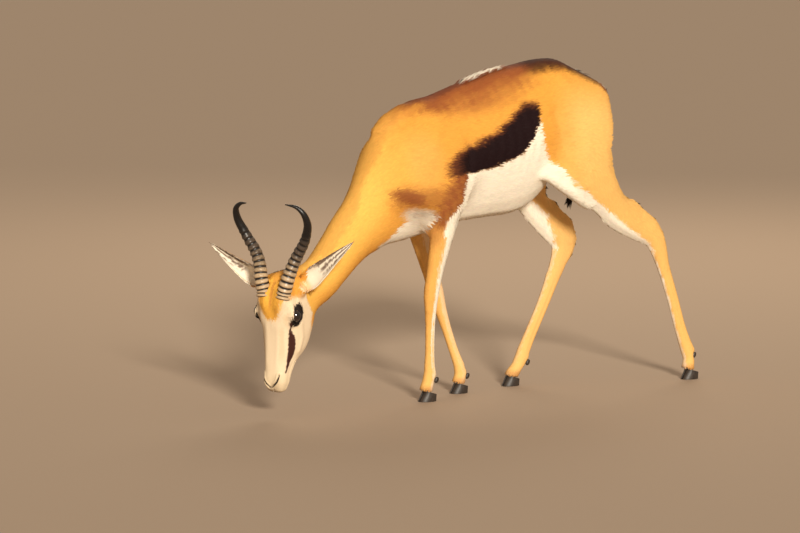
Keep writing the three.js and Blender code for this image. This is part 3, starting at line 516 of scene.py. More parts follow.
def shape_eye(p, side):
    r, far, d, ahead = eye_measure(p, side)
    target = EYE["radius"] + np.interp(r, *zip(*LID_RISE))
    keep = ramp(r, LID_END, LID["fade"])
    wanted = mix(np.where(r < LID_END, target, np.minimum(far, target + 6)), far, keep)
    moved = p + unit(d) * (wanted - far)[:, None]
    return np.where((ahead > 2)[:, None] & (far < EYE_REACH)[:, None], moved, p)


print("the left eye looks along", eye_ways(1)[0].round(2))

# %% Face lines
NOSTRIL = [(38, 22), (30, 20.5), (23, 17.5), (17, 12.5), (11, 6), (7, 1.5)]
MOUTH = [(3, -22), (10, -25), (20, -27), (32, -30), (44, -35), (55, -41), (63, -46)]


def flat_distance(a, b, line):
    """Distance in a flat measure (a, b) to a broken line."""
    return line_distance(np.column_stack([a, b, a * 0]), [(x, y, 0) for x, y in line])


def middle_line(u):
    """The face's middle line stands a little to the animal's right, as the muzzle turns to the water."""
    return np.interp(u, [0, 45, 100, 190], [-6.0, -5.5, -3.5, -2.5])


def face_rise(p):
    """Millimetres by which the face's skin rises, from its nostrils to the crown."""
    u, v, q = head_measure(p).T
    across = np.abs(v - middle_line(u))
    front = ramp(q, -26, -14)
    flank = ramp(across, 6, 14)
    rise = np.zeros(len(p))
    slit = flat_distance(u, across, NOSTRIL)
    rise += front * (-3.6 * np.exp(-((slit / 1.6) ** 2)) + 1.3 * np.exp(-(((slit - 4.5) / 2.4) ** 2)))
    lips = flat_distance(u, q, MOUTH)
    below = ramp(q, 0, -12)
    rise += flank * below * (-2.6 * np.exp(-((lips / 1.5) ** 2)) + 0.9 * np.exp(-(((lips - 4.4) / 2.2) ** 2)))
    rise += -1.3 * np.exp(-((v / 1.6) ** 2)) * ramp(u, 16, 6) * front
    bridge = np.exp(-(((across - 15) / 7) ** 2)) * ramp(u, 44, 70) * ramp(u, 165, 140) * front
    rise += 1.2 * bridge
    crest = flat_distance(u, q, [(150, -46), (120, -54), (88, -50)])
    rise += 2.0 * np.exp(-((crest / 7) ** 2)) * flank
    hollow = flat_distance(u, q, [(140, -22), (105, -26), (75, -28)])
    rise += -1.8 * np.exp(-((hollow / 9) ** 2)) * flank
    jaw = flat_distance(u, q, [(168, -92), (142, -92)])
    rise += 2.2 * np.exp(-((jaw / 20) ** 2)) * flank
    tear = flat_distance(u, q, [(158, -17), (147, -18), (138, -21)])
    rise += -2.4 * np.exp(-((tear / 2.2) ** 2)) * flank
    brow = flat_distance(u, q, [(190, 0), (178, 3), (164, 0)])
    rise += 0.5 * np.exp(-((brow / 7) ** 2)) * ramp(across, 30, 40)
    rise += -1.6 * np.exp(-((v / 7) ** 2)) * ramp(u, 178, 200) * front
    socket_edge = flat_distance(u, across, [(166, 40), (187, 40)])
    rise += -3.4 * np.exp(-((socket_edge / 9) ** 2)) * ramp(q, -22, -13)
    return rise


# %% Shape it
COAT_DEPTH = {"trunk": 3.2, "neck": 3.0, "head": 1.2, "legs": 1.4}


def coat_depth(p, near):
    """Depth of the coat in millimetres: thick on the body, thin on the face and down the legs."""
    line = stops["line"][near]
    depth = np.full(len(p), COAT_DEPTH["legs"])
    depth[on_lines(line, "trunk")] = COAT_DEPTH["trunk"]
    depth[on_lines(line, "neck")] = COAT_DEPTH["neck"]
    depth[on_lines(line, "head", "ear_left", "ear_right", "tail")] = COAT_DEPTH["head"]
    return mix(depth, COAT_DEPTH["trunk"], ramp(p[:, 2], 400, 520) * on_lines(line, *LEGS))


points = millimetres(read_points(skin.data))
normals = read_normals(skin.data)
near, lie = nearest_stop(points)
rise = -coat_depth(points, near)
edges = read_edges(skin.data)
rise = smooth(rise[:, None] * np.ones(3), edges, np.full(len(points), 12))[:, 0]
for line, width, height in ALL_FORMS:
    rise += swell(points, line, width, height)
uvq = head_measure(points)
on_face = (uvq[:, 0] < 245) & (uvq[:, 2] > -140) & (points[:, 0] < -330)
rise[on_face] += face_rise(points[on_face])
points = points + normals * rise[:, None]
for side in (1, -1):
    points = shape_eye(points, side)
write_points(skin.data, metres(points))
print("skin shaped, box in mm:", points.min(0).round(), points.max(0).round())

# %% [markdown]
# ## Ears
# An ear is a thin leaf, too thin for the remesh, so it is laid out as rings of points round a curved line.
# The leaf is folded: wide open in the middle, closing to a tube at the root and to a point at the tip. It
# joins the skin's own mesh, its root sunk in the swelling made above.


# %% Lay out an ear
EAR_DEEP = 0.8


def ear_width(t):
    return np.interp(t, [0, 0.1, 0.25, 0.4, 0.55, 0.7, 0.85, 0.95, 1],
                     [19, 22.5, 23.5, 20.5, 16, 11.8, 7.2, 3.4, 0.5])


def ear_mesh(name, rings=44, across=16):
    """Points and faces of an ear: rings that go round its outer side and back along its inner one."""
    way = ear_way(name)
    front = unit(OUT - way * (OUT @ way))
    side = np.cross(way, front)
    rows = []
    for i in range(rings + 1):
        t = i / rings
        width = ear_width(t)
        spread = mix(1.15, 0.95, t) * math.pi * np.clip(t / 0.14, 0.55, 1)
        thick = mix(2.6, 1.2, t)
        bend = 7 * math.sin(t * math.pi) - 5 * t
        centre = ear_base(name) + way * (t * (EAR["long"] - 1.5)) + front * bend
        turn = math.pi + (np.arange(across + 1) / across - 0.5) * spread
        ridge = 0.5 * np.cos((turn - math.pi) * 9) * ramp(t, 0.1, 0.3) * ramp(t, 0.95, 0.6)
        ring = []
        for size in (width - 0.5, width - thick + ridge):
            forward = np.outer(np.cos(turn) * size * EAR_DEEP, front)
            ring.append(centre + forward + np.outer(np.sin(turn) * size, side))
        rows.append(np.concatenate([ring[0], ring[1][::-1]]))
    rows = np.array(rows)
    count = rows.shape[1]
    index = np.arange(rows.shape[0] * count).reshape(-1, count)
    ahead = np.roll(index, -1, axis=1)
    quads = np.stack([index[:-1], index[1:], ahead[1:], ahead[:-1]], axis=2).reshape(-1, 4)
    faces = [list(quad[::-1]) for quad in quads] + [list(index[0][::-1]), list(index[-1])]
    return rows.reshape(-1, 3), faces


build = bmesh.new()
build.from_mesh(skin.data)
bmesh.ops.recalc_face_normals(build, faces=build.faces)
for name in ("left", "right"):
    ear_points, ear_faces = ear_mesh(name)
    made = [build.verts.new(p) for p in metres(ear_points)]
    for face in ear_faces:
        build.faces.new([made[k] for k in face])
skin.data = new_mesh("skin", build)
skin.data.shade_smooth()
print("skin with ears:", len(skin.data.polygons), "faces")

# %% [markdown]
# ## Markings
# Skin and hair carry the same markings, so the colours are worked out once, as a function of a place on the
# body: tan above, white below, and between them the dark stripe along the flank. Edges waver a little, as
# hair does. The result is kept on the mesh as a colour attribute, which is simpler to read than a tall tree
# of shader nodes.

# %% Colours of the coat
TAN = np.array([0.71, 0.32, 0.052])
PALE_TAN = np.array([0.79, 0.455, 0.14])
CINNAMON = np.array([0.27, 0.072, 0.023])
RIDGE = np.array([0.18, 0.048, 0.018])
STRIPE = np.array([0.012, 0.0042, 0.005])
RED_BROWN = np.array([0.24, 0.07, 0.022])
WHITE = np.array([0.86, 0.77, 0.63])
FACE_WHITE = np.array([0.80, 0.63, 0.43])
# the next tan is painted light, for the lit upper side of the neck
LIT_NECK_TAN = np.array([0.84, 0.48, 0.10])
ORANGE = np.array([0.80, 0.40, 0.06])
FACE_BROWN = np.array([0.055, 0.018, 0.012])
BLACK = np.array([0.016, 0.011, 0.009])
EAR_GREY = np.array([0.13, 0.075, 0.05])


def waver(p, size, seed):
    """Soft noise from a few waves, about -1 to 1, with lumps of that size in millimetres."""
    draw = np.random.default_rng(seed)
    total = np.zeros(len(p))
    for _ in range(6):
        way = unit(draw.normal(size=3)) * 2 * math.pi / (size * draw.uniform(0.7, 1.6))
        total += np.sin(p @ way + draw.uniform(0, 6.3))
    return total / 3


def over(colour, paint, mask):
    return mix(colour, paint, np.clip(mask, 0, 1)[:, None])


# %% The trunk's edges
STRIPE_TOP = [(-30, 552), (0, 566), (26, 585), (81, 606), (137, 628), (194, 670), (226, 692), (262, 690)]
STRIPE_FOOT = [(-30, 520), (45, 534), (74, 534), (123, 541), (178, 556), (222, 580), (251, 623), (270, 662)]
CHEST_TOP = [(-140, 374), (-127, 386), (-113, 403), (-94, 426), (-54, 449), (0, 440)]
BACK_LINE = [(-394, 318), (-354, 344), (-318, 360), (-286, 389), (-252, 427), (-217, 468), (-177, 560),
             (-122, 652), (-88, 682), (-40, 701), (20, 714), (100, 738), (180, 761), (260, 775), (320, 785),
             (372, 786), (420, 766), (468, 742), (505, 716), (530, 690)]
# how far down from the back line the cinnamon reaches
CINNAMON_DEPTH = [(-330, 14), (-100, 22), (-40, 34), (30, 62), (150, 82), (250, 54), (330, 30), (520, 20)]
# upright edges, as pairs of minus the height and x
ELBOW_EDGE = [(-560, 50), (-520, 46), (-475, 33), (-452, 9), (-430, -5), (-395, -8)]
LEFT_THIGH_EDGE = [(-690, 252), (-640, 266), (-590, 276), (-552, 294), (-521, 339), (-491, 364), (-453, 424),
                   (-401, 497), (-360, 564), (-330, 606)]
RIGHT_THIGH_EDGE = [(-690, 248), (-640, 256), (-590, 260), (-552, 264), (-521, 282), (-491, 306), (-453, 352),
                    (-411, 405), (-364, 428), (-320, 449)]


def level(line, x):
    return np.interp(x, [a for a, b in line], [b for a, b in line])


print("height of the back over the hips, mm:", level(BACK_LINE, 372))


# %% What the marks of the body are measured by
class Spots:
    """Points of the body, with the measures that its markings share."""

    def __init__(self, p, normal, line):
        self.x, self.y, self.z = p.T
        self.away = np.abs(self.y)
        self.normal = normal
        self.rough = waver(p, 16, 1) * 2.2 + waver(p, 5, 2) * 1.6
        self.patchy = waver(p, 60, 3) * 0.5 + waver(p, 22, 4) * 0.5
        self.legs = on_lines(line, *LEGS)
        self.hind = on_lines(line, "hindleg_left", "hindleg_right")
        self.neck = on_lines(line, "neck")
        self.core = on_lines(line, "head", "neck", "trunk")
        self.depth = level(BACK_LINE, self.x) - self.z
        self.foot = level(STRIPE_FOOT, self.x) + self.rough
        self.top = level(STRIPE_TOP, self.x) + self.rough * 1.3
        self.behind_elbow = level(ELBOW_EDGE, -self.z)


# %% Tan, cinnamon and the dark ridge
def ground_colour(at):
    """Tan, paler on the thighs, the legs, the neck's underside and the shoulder, and painted lighter
    on the neck's upper side, where the light falls.
    """
    colour = np.tile(TAN, (len(at.x), 1))
    thigh = ramp(at.x, 290, 400) * ramp(at.z, 765, 640) * ramp(at.away, 20, 60)
    low_leg = at.legs * ramp(at.z, 480, 380) * mix(0.95, 0.5, ramp(at.z, 60, 240))
    colour = over(colour, PALE_TAN, np.maximum(thigh * 0.9, low_leg))
    colour = over(colour, PALE_TAN, ramp(at.normal[:, 2], -0.1, -0.7) * at.neck * 0.1)
    # painted light: the neck's upper side, which faces the light, is painted a brighter tan
    lit_neck = at.core * ramp(at.x, -50, -210) * ramp(at.normal[:, 2], -0.5, 0.1)
    colour = over(colour, LIT_NECK_TAN, lit_neck * 0.8)
    shoulder = np.hypot((at.x + 62) / 60, (at.z - 560) / 80)
    return over(colour, PALE_TAN, ramp(shoulder, 1.2, 0.3) * 0.3 * at.core)


def back_colour(colour, at):
    """Cinnamon back, deepest in the middle, and a dark ridge from the withers to the tail."""
    deep = level(CINNAMON_DEPTH, at.x)
    edge = at.depth + at.patchy * 13 + at.away * 0.12
    cinnamon = ramp(edge, deep * 1.45, deep * 0.2) * at.core * mix(0.3, 1, ramp(at.x, -110, 0))
    colour = over(colour, CINNAMON, cinnamon * 0.95)
    ridge = ramp(at.depth + at.patchy * 5 + at.away * 0.5, 26, 8) * ramp(at.x, -140, 10)
    colour = over(colour, RIDGE, ridge * at.core)
    loin = ramp(at.depth + at.away * 0.05 + at.rough, 42, 17) * ramp(at.x, 240, 300)
    return over(colour, STRIPE, loin * 0.8 * at.core)


# %% White of the belly, brisket, underside and groin
def white_colour(colour, at):
    body = (at.core | (at.z > 395) | (at.hind & (at.z > 320))) & (at.x > -200)
    thigh_edge = np.where(at.y < 0, level(LEFT_THIGH_EDGE, -at.z), level(RIGHT_THIGH_EDGE, -at.z))
    in_front = thigh_edge + at.rough * 2 - at.x
    belly = ramp(at.foot - at.z, -5, 5)
    belly = belly * ramp(at.x + at.rough, at.behind_elbow - 3, at.behind_elbow + 6)
    belly = belly * ramp(in_front, -7, 7)
    chest = ramp(level(CHEST_TOP, at.x) - at.z + at.rough * 1.5, -5, 6) * at.core
    chest = chest * ramp(at.x, 330, 300) * ramp(at.x, -160, -140)
    under = ramp(at.normal[:, 2], -0.5, -0.75) * ramp(at.x, -138, -112) * ramp(at.z, 500, 470)
    groin = ramp(at.away, 62, 42) * ramp(at.x, 280, 330) * ramp(at.z, 620, 560)
    return over(colour, WHITE, body * np.maximum.reduce([belly, chest, under, groin]))


# %% Browns of elbow and shoulder, and the stripe along the flank
def brown_colour(colour, at):
    """Reddish brown from the stripe down to the elbow, and along the shoulder's foot to its point."""
    outside = ramp(at.away, 40, 60)
    elbow = flat_distance(at.x, at.z, [(52, 545), (34, 505), (14, 470), (2, 448)])
    elbow = ramp(elbow + at.rough * 2, 50, 24) * ramp(at.behind_elbow - at.x, -6, 0) * ramp(at.away, 44, 62)
    colour = over(colour, RED_BROWN, elbow * (0.88 + 0.2 * at.patchy) * ~at.neck)
    shoulder_foot = flat_distance(at.x, at.z, [(-112, 482), (-60, 478), (-20, 482)])
    colour = over(colour, RED_BROWN, ramp(shoulder_foot + at.rough * 2, 44, 8) * 0.6 * outside)
    point = np.hypot((at.x + 106) / 36, (at.z - 485 + (at.x + 106) * 0.25) / 17) + at.rough * 0.05
    colour = over(colour, RED_BROWN, ramp(point, 1.3, 0.5) * 0.85 * outside)
    upper_leg = ramp(np.abs(at.x + 24) + at.rough, 24, 6) * ramp(at.z, 345, 400) * (at.away > 50) * at.legs
    return over(colour, CINNAMON, upper_leg * 0.4)


def stripe_colour(colour, at):
    """The stripe: reddish at its edges and its front end, nearly black within."""
    band = ramp(at.z - at.foot, -4, 5) * ramp(at.top - at.z, -10, 12)
    band = band * ramp(at.x, -24, 12) * ramp(at.x, 274, 256) * ramp(at.away, 30, 50)
    colour = over(colour, mix(RED_BROWN, STRIPE, 0.45), band)
    return over(colour, STRIPE, band * ramp(at.top - at.z, 0, 22) * ramp(at.x, -10, 50))


# %% Rump, and the whole body
def rump_colour(colour, at):
    """White rump in a reddish frame, and the white fold along the spine."""
    frame_line = ramp(at.x, 458, 474) * ramp(at.away, 76, 62) * ramp(at.z, 520, 560)
    colour = over(colour, RED_BROWN, frame_line * 0.8)
    rump = ramp(at.x + at.patchy * 3, 470, 484) * ramp(at.away, 62, 46) * ramp(at.z, 470, 500)
    colour = over(colour, WHITE, rump)
    fold = np.maximum(ramp(at.x, 96, 116) * ramp(at.x, 222, 196), ramp(at.x, 428, 448))
    fold = fold * ramp(at.away, 13, 7) * ramp(at.depth, 34, 20)
    return over(colour, WHITE, fold * at.core * (at.x > 50))


def body_colour(p, normal, line):
    at = Spots(p, normal, line)
    colour = back_colour(ground_colour(at), at)
    colour = brown_colour(white_colour(colour, at), at)
    return rump_colour(stripe_colour(colour, at), at)


# %% Legs and tail
def leg_colour(colour, p, normal, line):
    """White on the rear of the forelegs and the front of the hind legs, and the white and black tail."""
    z = p[:, 2]
    rough = waver(p, 9, 5) * 0.12
    for leg in LEGS:
        side = -1 if "left" in leg else 1
        mine = on_lines(line, leg)
        inward = normal[:, 1] * -side
        ahead = -normal[:, 0]
        if "fore" in leg:
            turned = inward * 0.1 - ahead + mix(0.02, 0.18, ramp(z, 240, 380))
            high = ramp(z, 440, 410)
        else:
            turned = ahead * 0.9 + inward * 0.1 - 0.7
            high = ramp(z, 352, 318)
        white = ramp(turned + rough, -0.2, 0.16) * high * mix(0.5, 1, ramp(z, 50, 200))
        white = np.maximum(white, ramp(inward, 0.2, 0.9) * 0.1)
        white = white * (0.35 if "right" in leg else 1)
        colour = over(colour, WHITE, white * mine)
        colour = over(colour, CINNAMON, mine * ramp(z, 44, 28) * 0.5)
    tail = on_lines(line, "tail")
    colour = over(colour, WHITE, tail)
    return over(colour, BLACK, tail * ramp(z, 520, 490))


# %% Face
EYE_STRIPE = [(158, -13), (149, -18), (138, -18), (126, -23), (108, -25), (92, -25.5), (78, -24), (65, -19),
              (52, -15), (43, -11.5)]
STRIPE_HALF = [(40, 1.2), (50, 2.4), (65, 4.4), (78, 9), (92, 10.2), (108, 9.8), (122, 8.4), (136, 3.4),
               (149, 3.2), (160, 4)]
FOREHEAD_HALF = [(158, 2), (163, 10), (170, 16), (180, 21), (192, 26), (205, 31), (226, 33)]
NOSTRIL_HALF = [(7, 1.2), (14, 1.7), (30, 1.9), (40, 0.9)]
MUZZLE = np.array([0.64, 0.51, 0.32])
BRIDGE_SIDE = np.array([0.58, 0.42, 0.25])
# the brown below is painted shade, for the hollow in front of the eye
EYE_HOLLOW_SHADE = np.array([0.50, 0.30, 0.13])


def forehead_colour(paint, u, away, q, rough):
    """Forehead patch: broad at the horns, narrowing down the face."""
    half = level(FOREHEAD_HALF, u)
    patch = ramp(half - away + rough * 1.8, -5, 5) * ramp(q, -26, -12) * ramp(u + rough * 2, 158, 168)
    paint = over(paint, ORANGE, patch)
    paint = over(paint, CINNAMON, patch * ramp(away + rough, 6, 1) * ramp(u, 180, 205) * 0.5)
    return over(paint, CINNAMON, patch * ramp(np.abs(away - half + 7) + rough, 6, 1) * 0.25)


def eye_and_mouth_colour(paint, u, v, away, q, rough):
    """The stripe below the eye, the nostrils, the lips, and the dark skin and hair round the eye."""
    stripe = flat_distance(u, q, EYE_STRIPE)
    half = level(STRIPE_HALF, u)
    stripe_mask = ramp(stripe + rough * 0.45, half + 1.6, half - 1.4) * ramp(away, 10, 18)
    paint = over(paint, FACE_BROWN, stripe_mask)
    slit = flat_distance(u, away, NOSTRIL)
    half = level(NOSTRIL_HALF, u)
    paint = over(paint, BLACK, ramp(slit, half + 0.7, half - 0.4) * ramp(q, -24, -16))
    paint = over(paint, EAR_GREY, ramp(u + away * 0.4, 11, 3) * ramp(q, -34, -22) * 0.5)
    lips = flat_distance(u, q, MOUTH)
    paint = over(paint, BLACK, ramp(lips, 2.0, 0.9) * ramp(away, 2, 6) * ramp(q, -8, -16) * 0.9)
    dark = np.hypot((u - 174) / 28, (q + 28) / 20) + rough * 0.03
    dark = np.where(u < 160, dark + (160 - u) * 0.008, dark)
    return over(paint, BLACK, ramp(dark, 1.08, 0.94) * ramp(np.abs(v), 36, 40))


def face_colour(colour, p, line):
    u, v, q = head_measure(p).T
    away = np.abs(v - middle_line(u))
    rough = waver(p, 7, 6) * 1.4 + waver(p, 3, 7) * 0.7
    paint = np.tile(FACE_WHITE, (len(p), 1))
    crown = ramp(u + rough, 208, 224) * ramp(q, -62, -48)
    behind_ear = ramp(u + rough, 236, 250)
    jaw = ramp(-q + rough * 2, 80, 94) * ramp(u, 118, 150)
    paint = over(paint, TAN, np.maximum.reduce([crown, behind_ear, jaw]))
    paint = over(paint, MUZZLE, ramp(u, 60, 15) * 0.5)
    paint = forehead_colour(paint, u, away, q, rough)
    cast = ramp(np.abs(away - 24) + rough, 9, 2) * ramp(u, 46, 90) * ramp(u, 160, 135) * ramp(q, -22, -12)
    paint = over(paint, BRIDGE_SIDE, cast * 0.42)
    # painted shade: a soft brown darkening in the hollow in front of the eye
    eye_hollow_shade = np.hypot((u - 166) / 16, (away - 36) / 7) + rough * 0.05
    paint = over(paint, EYE_HOLLOW_SHADE, ramp(eye_hollow_shade, 1.3, 0.4) * 0.25)
    paint = eye_and_mouth_colour(paint, u, v, away, q, rough)
    return np.where(on_lines(line, "head")[:, None], paint, colour)


# %% Ears
def ear_colour(colour, p, normal, line):
    """Tan outside with a dark upper rim, and inside white with dark streaks towards the tip."""
    for name in ("left", "right"):
        way = ear_way(name)
        front = unit(OUT - way * (OUT @ way))
        side = np.cross(way, front)
        d = p - ear_base(name)
        along = d @ way / EAR["long"]
        across = (d @ side) / np.maximum(ear_width(np.clip(along, 0, 1)), 1)
        inside = ramp(normal @ front, -0.05, 0.25) * ramp(along, 0.08, 0.16)
        rough = waver(p, 6, 8) * 0.08
        upper = across if name == "right" else -across
        paint = np.tile(mix(PALE_TAN, WHITE, 0.4), (len(p), 1))
        paint = over(paint, TAN, ramp(upper + rough, -0.3, 0.5) * 0.7)
        inner = np.tile(WHITE, (len(p), 1))
        streaks = np.cos(across * 10 + along * 3 + rough * 10)
        dark = ramp(streaks + rough, -0.3, 0.2) * ramp(along, 0.3, 0.42) * ramp(upper + along, -0.35, 0.1)
        inner = over(inner, EAR_GREY, dark * 0.9)
        inner = over(inner, ORANGE, ramp(along, 0.1, 0.02) * 0.4)
        paint = paint * (1 - inside[:, None]) + inner * inside[:, None]
        rim = ramp(upper + rough, 0.8, 0.98) * ramp(along, 0.12, 0.3)
        rim = rim * (1.0 if name == "left" else 0.4)
        paint = over(paint, EAR_GREY, np.maximum(rim, ramp(along, 0.9, 1.0) * 0.8))
        colour = np.where(on_lines(line, f"ear_{name}")[:, None], paint, colour)
    return colour


# %% Paint the skin
def coat_colour(p, normal, near):
    """Colour of the coat at points of the skin."""
    line = stops["line"][near]
    colour = body_colour(p, normal, line)
    colour = leg_colour(colour, p, normal, line)
    colour = face_colour(colour, p, line)
    return ear_colour(colour, p, normal, line)


def paint_points(mesh, colour):
    """Keeps one colour for each point of a mesh."""
    layer = mesh.color_attributes.new("coat", "FLOAT_COLOR", "POINT")
    rgba = np.ones((len(mesh.vertices), 4))
    rgba[:, :3] = np.clip(colour, 0, 1)
    layer.data.foreach_set("color", rgba.ravel())


points = millimetres(read_points(skin.data))
normals = read_normals(skin.data)
near, lie = nearest_stop(points)
skin_colour = coat_colour(points, normals, near)
paint_points(skin.data, skin_colour)
print("mean colour of the skin:", skin_colour.mean(0).round(3))

# %% [markdown]
# ## A short way to write shaders
# A material is a tree of nodes. To keep the trees readable, one small class wraps a socket, so that sums
# are written as sums, and one method adds any other node.


# %% Sockets that add and multiply
class Wire:
    """One output of a node."""

    def __init__(self, tree, socket):
        self.tree = tree
        self.socket = socket

    def maths(self, operation, first, second):
        return node(self.tree, "ShaderNodeMath", {"operation": operation}, {0: first, 1: second})

    def __add__(self, other):
        return self.maths("ADD", self, other)

    def __sub__(self, other):
        return self.maths("SUBTRACT", self, other)

    def __mul__(self, other):
        return self.maths("MULTIPLY", self, other)

    def __rsub__(self, other):
        return self.maths("SUBTRACT", other, self)

    __radd__ = __add__
    __rmul__ = __mul__


def node(tree, kind, settings=None, sockets=None, output=0):
    """Adds a node: its settings first, then the values or wires of its sockets."""
    made = tree.nodes.new(kind)
    for key, value in (settings or {}).items():
        setattr(made, key, value)
    for key, value in (sockets or {}).items():
        if isinstance(value, Wire):
            tree.links.new(value.socket, made.inputs[key])
        else:
            made.inputs[key].default_value = value
    return Wire(tree, made.outputs[output] if made.outputs else None)


def material(name, **fixed):
    """A new material, its tree and its shader. The fixed values are the same all over."""
    made = bpy.data.materials.new(name)
    made.use_nodes = True
    shader = made.node_tree.nodes["Principled BSDF"]
    for key, value in fixed.items():
        shader.inputs[key.replace("_", " ")].default_value = value
    return made, made.node_tree, shader


def wire_in(tree, value, socket):
    tree.links.new(value.socket, socket)


print("shader helpers: Wire, node, material, wire_in")


# %% Noise, relief and bands of colour
def noise(tree, scale, detail=3.0, stretch=None):
    place = node(tree, "ShaderNodeTexCoord", output=3)
    if stretch:
        place = node(tree, "ShaderNodeMapping", None, {"Vector": place, "Scale": stretch})
    return node(tree, "ShaderNodeTexNoise", None, {"Vector": place, "Scale": scale, "Detail": detail})


def relief_in(tree, shader, strength, distance, height):
    """Lets a height tilt the way a surface faces, without moving it. distance is in metres."""
    sockets = {"Strength": strength, "Distance": distance, "Height": height}
    wire_in(tree, node(tree, "ShaderNodeBump", None, sockets), shader.inputs["Normal"])


def colour_band(tree, value, colours):
    """Colours that change with a value: pairs of a value and its colour, from low to high."""
    paint = node(tree, "ShaderNodeValToRGB", None, {0: value})
    band = paint.socket.node.color_ramp
    first, *between, last = colours
    band.elements[0].color = (*first[1], 1)
    band.elements[1].position = last[0]
    band.elements[1].color = (*last[1], 1)
    for place, colour in between:
        band.elements.new(place).color = (*colour, 1)
    return paint


# %% Coat and skin
def hair_material(name, spread, bump, **fixed):
    """The markings, made a little lighter and darker by fine noise of that spread."""
    made, tree, shader = material(name, **fixed)
    colour = node(tree, "ShaderNodeAttribute", {"attribute_name": "coat"})
    fine = noise(tree, 900.0)
    shade = fine * spread + (1 - spread * 0.5)
    wire_in(tree, node(tree, "ShaderNodeVectorMath", {"operation": "SCALE"}, {0: colour, "Scale": shade}),
            shader.inputs["Base Color"])
    if bump:
        relief_in(tree, shader, bump, 0.0012, noise(tree, 420.0, 4.0))
    return made


SKIN_FINISH = hair_material("skin", 0.12, 0.2, Roughness=0.8, Specular_IOR_Level=0.15)
HAIR_FINISH = hair_material("hair", 0.15, 0, Roughness=0.72, Specular_IOR_Level=0.1)
skin.data.materials.clear()
skin.data.materials.append(SKIN_FINISH)
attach(skin, "root")
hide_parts("tail", "ear_left", "ear_right", *FLESH)
print("the skin takes the place of", len(FLESH) + 3, "solids")

# %% [markdown]
# ## Hair
# The coat is short and sleek. Each tuft is a slim closed blade that is rooted in the skin, lies along the
# body and ends in a point. Thousands of them are made at once with arrays: roots are scattered evenly over
# the skin, then one small pattern of seven points is turned, bent and sized for each root.


# %% Scatter roots
def triangles_of(mesh):
    mesh.calc_loop_triangles()
    flat = np.zeros(len(mesh.loop_triangles) * 3, int)
    mesh.loop_triangles.foreach_get("vertices", flat)
    return flat.reshape(-1, 3)


def scatter(points, normals, corners, spacing):
    """Even roots on the triangles: many are drawn, and one is kept in each small cell of space."""
    a, b, c = points[corners[:, 0]], points[corners[:, 1]], points[corners[:, 2]]
    area = np.linalg.norm(np.cross(b - a, c - a), axis=1) / 2
    gap = spacing[corners].mean(1)
    want = area / gap ** 2 * 3.0
    many = chance.poisson(want)
    pick = np.repeat(np.arange(len(corners)), many)
    r, s = chance.random((2, len(pick)))
    fold = r + s > 1
    r[fold], s[fold] = 1 - r[fold], 1 - s[fold]
    place = a[pick] + (b - a)[pick] * r[:, None] + (c - a)[pick] * s[:, None]
    na, nb, nc = (normals[corners[pick, k]] for k in range(3))
    up = unit(na * (1 - r - s)[:, None] + nb * r[:, None] + nc * s[:, None])
    cell = np.floor(place / gap[pick, None]).astype(np.int64)
    key = (cell[:, 0] * 73856093) ^ (cell[:, 1] * 19349663) ^ (cell[:, 2] * 83492791)
    _, first = np.unique(key, return_index=True)
    first.sort()
    return place[first], up[first]


def hair_spacing(p, near):
    """Millimetres between tufts."""
    line = stops["line"][near]
    gap = np.full(len(p), 3.4)
    gap[on_lines(line, "neck", "trunk")] = 4.4
    gap[on_lines(line, "head")] = 2.9
    gap[on_lines(line, "tail", "ear_left", "ear_right")] = 3.2
    return gap


corners = triangles_of(skin.data)
roots, root_up = scatter(points, normals, corners, hair_spacing(points, near))
root_near, root_lie = nearest_stop(roots)
root_line = stops["line"][root_near]
print("roots:", len(roots))


# %% Length, lift and lie
def hair_form(p, up, near, line):
    """Length, half width and lift angle of each tuft, in millimetres and degrees."""
    x, y, z = p.T
    u, v, q = head_measure(p).T
    face = on_lines(line, "head")
    ears = on_lines(line, "ear_left", "ear_right")
    core = on_lines(line, "head", "neck", "trunk")
    legs = on_lines(line, *LEGS)
    hind = on_lines(line, "hindleg_left", "hindleg_right")
    long = np.full(len(p), 8.0)
    long[on_lines(line, "neck", "trunk")] = 12.5
    long[legs] = mix(6.0, 12, ramp(z[legs], 200, 470))
    long[face] = mix(3.2, 8.5, ramp(u[face], 60, 215))
    long[ears] = 4.5
    lift = np.full(len(p), 5.0)
    lift[face | ears] = 4.0
    crest = core & (np.abs(y) < 14) & (up[:, 2] > 0.75) & (((x > 98) & (x < 214)) | (x > 436))
    long[crest] = 24
    lift[crest] = 15
    rump = (x > 470) & (np.abs(y) < 60) & (z > 520)
    long[rump] = 18
    brisket = core & (x > -130) & (x < 40) & (up[:, 2] < -0.5)
    long[brisket] = 15
    long[hind & (up[:, 0] > 0.5) & (z > 430)] = 15
    width = 0.115 * long + 0.35
    return long, width, lift


LIFT_MOST = 28
ROOT_DEPTH = 0.4
BLADE_RIDGE = 0.25
GRAVITY = np.array([0, 0, -0.22])


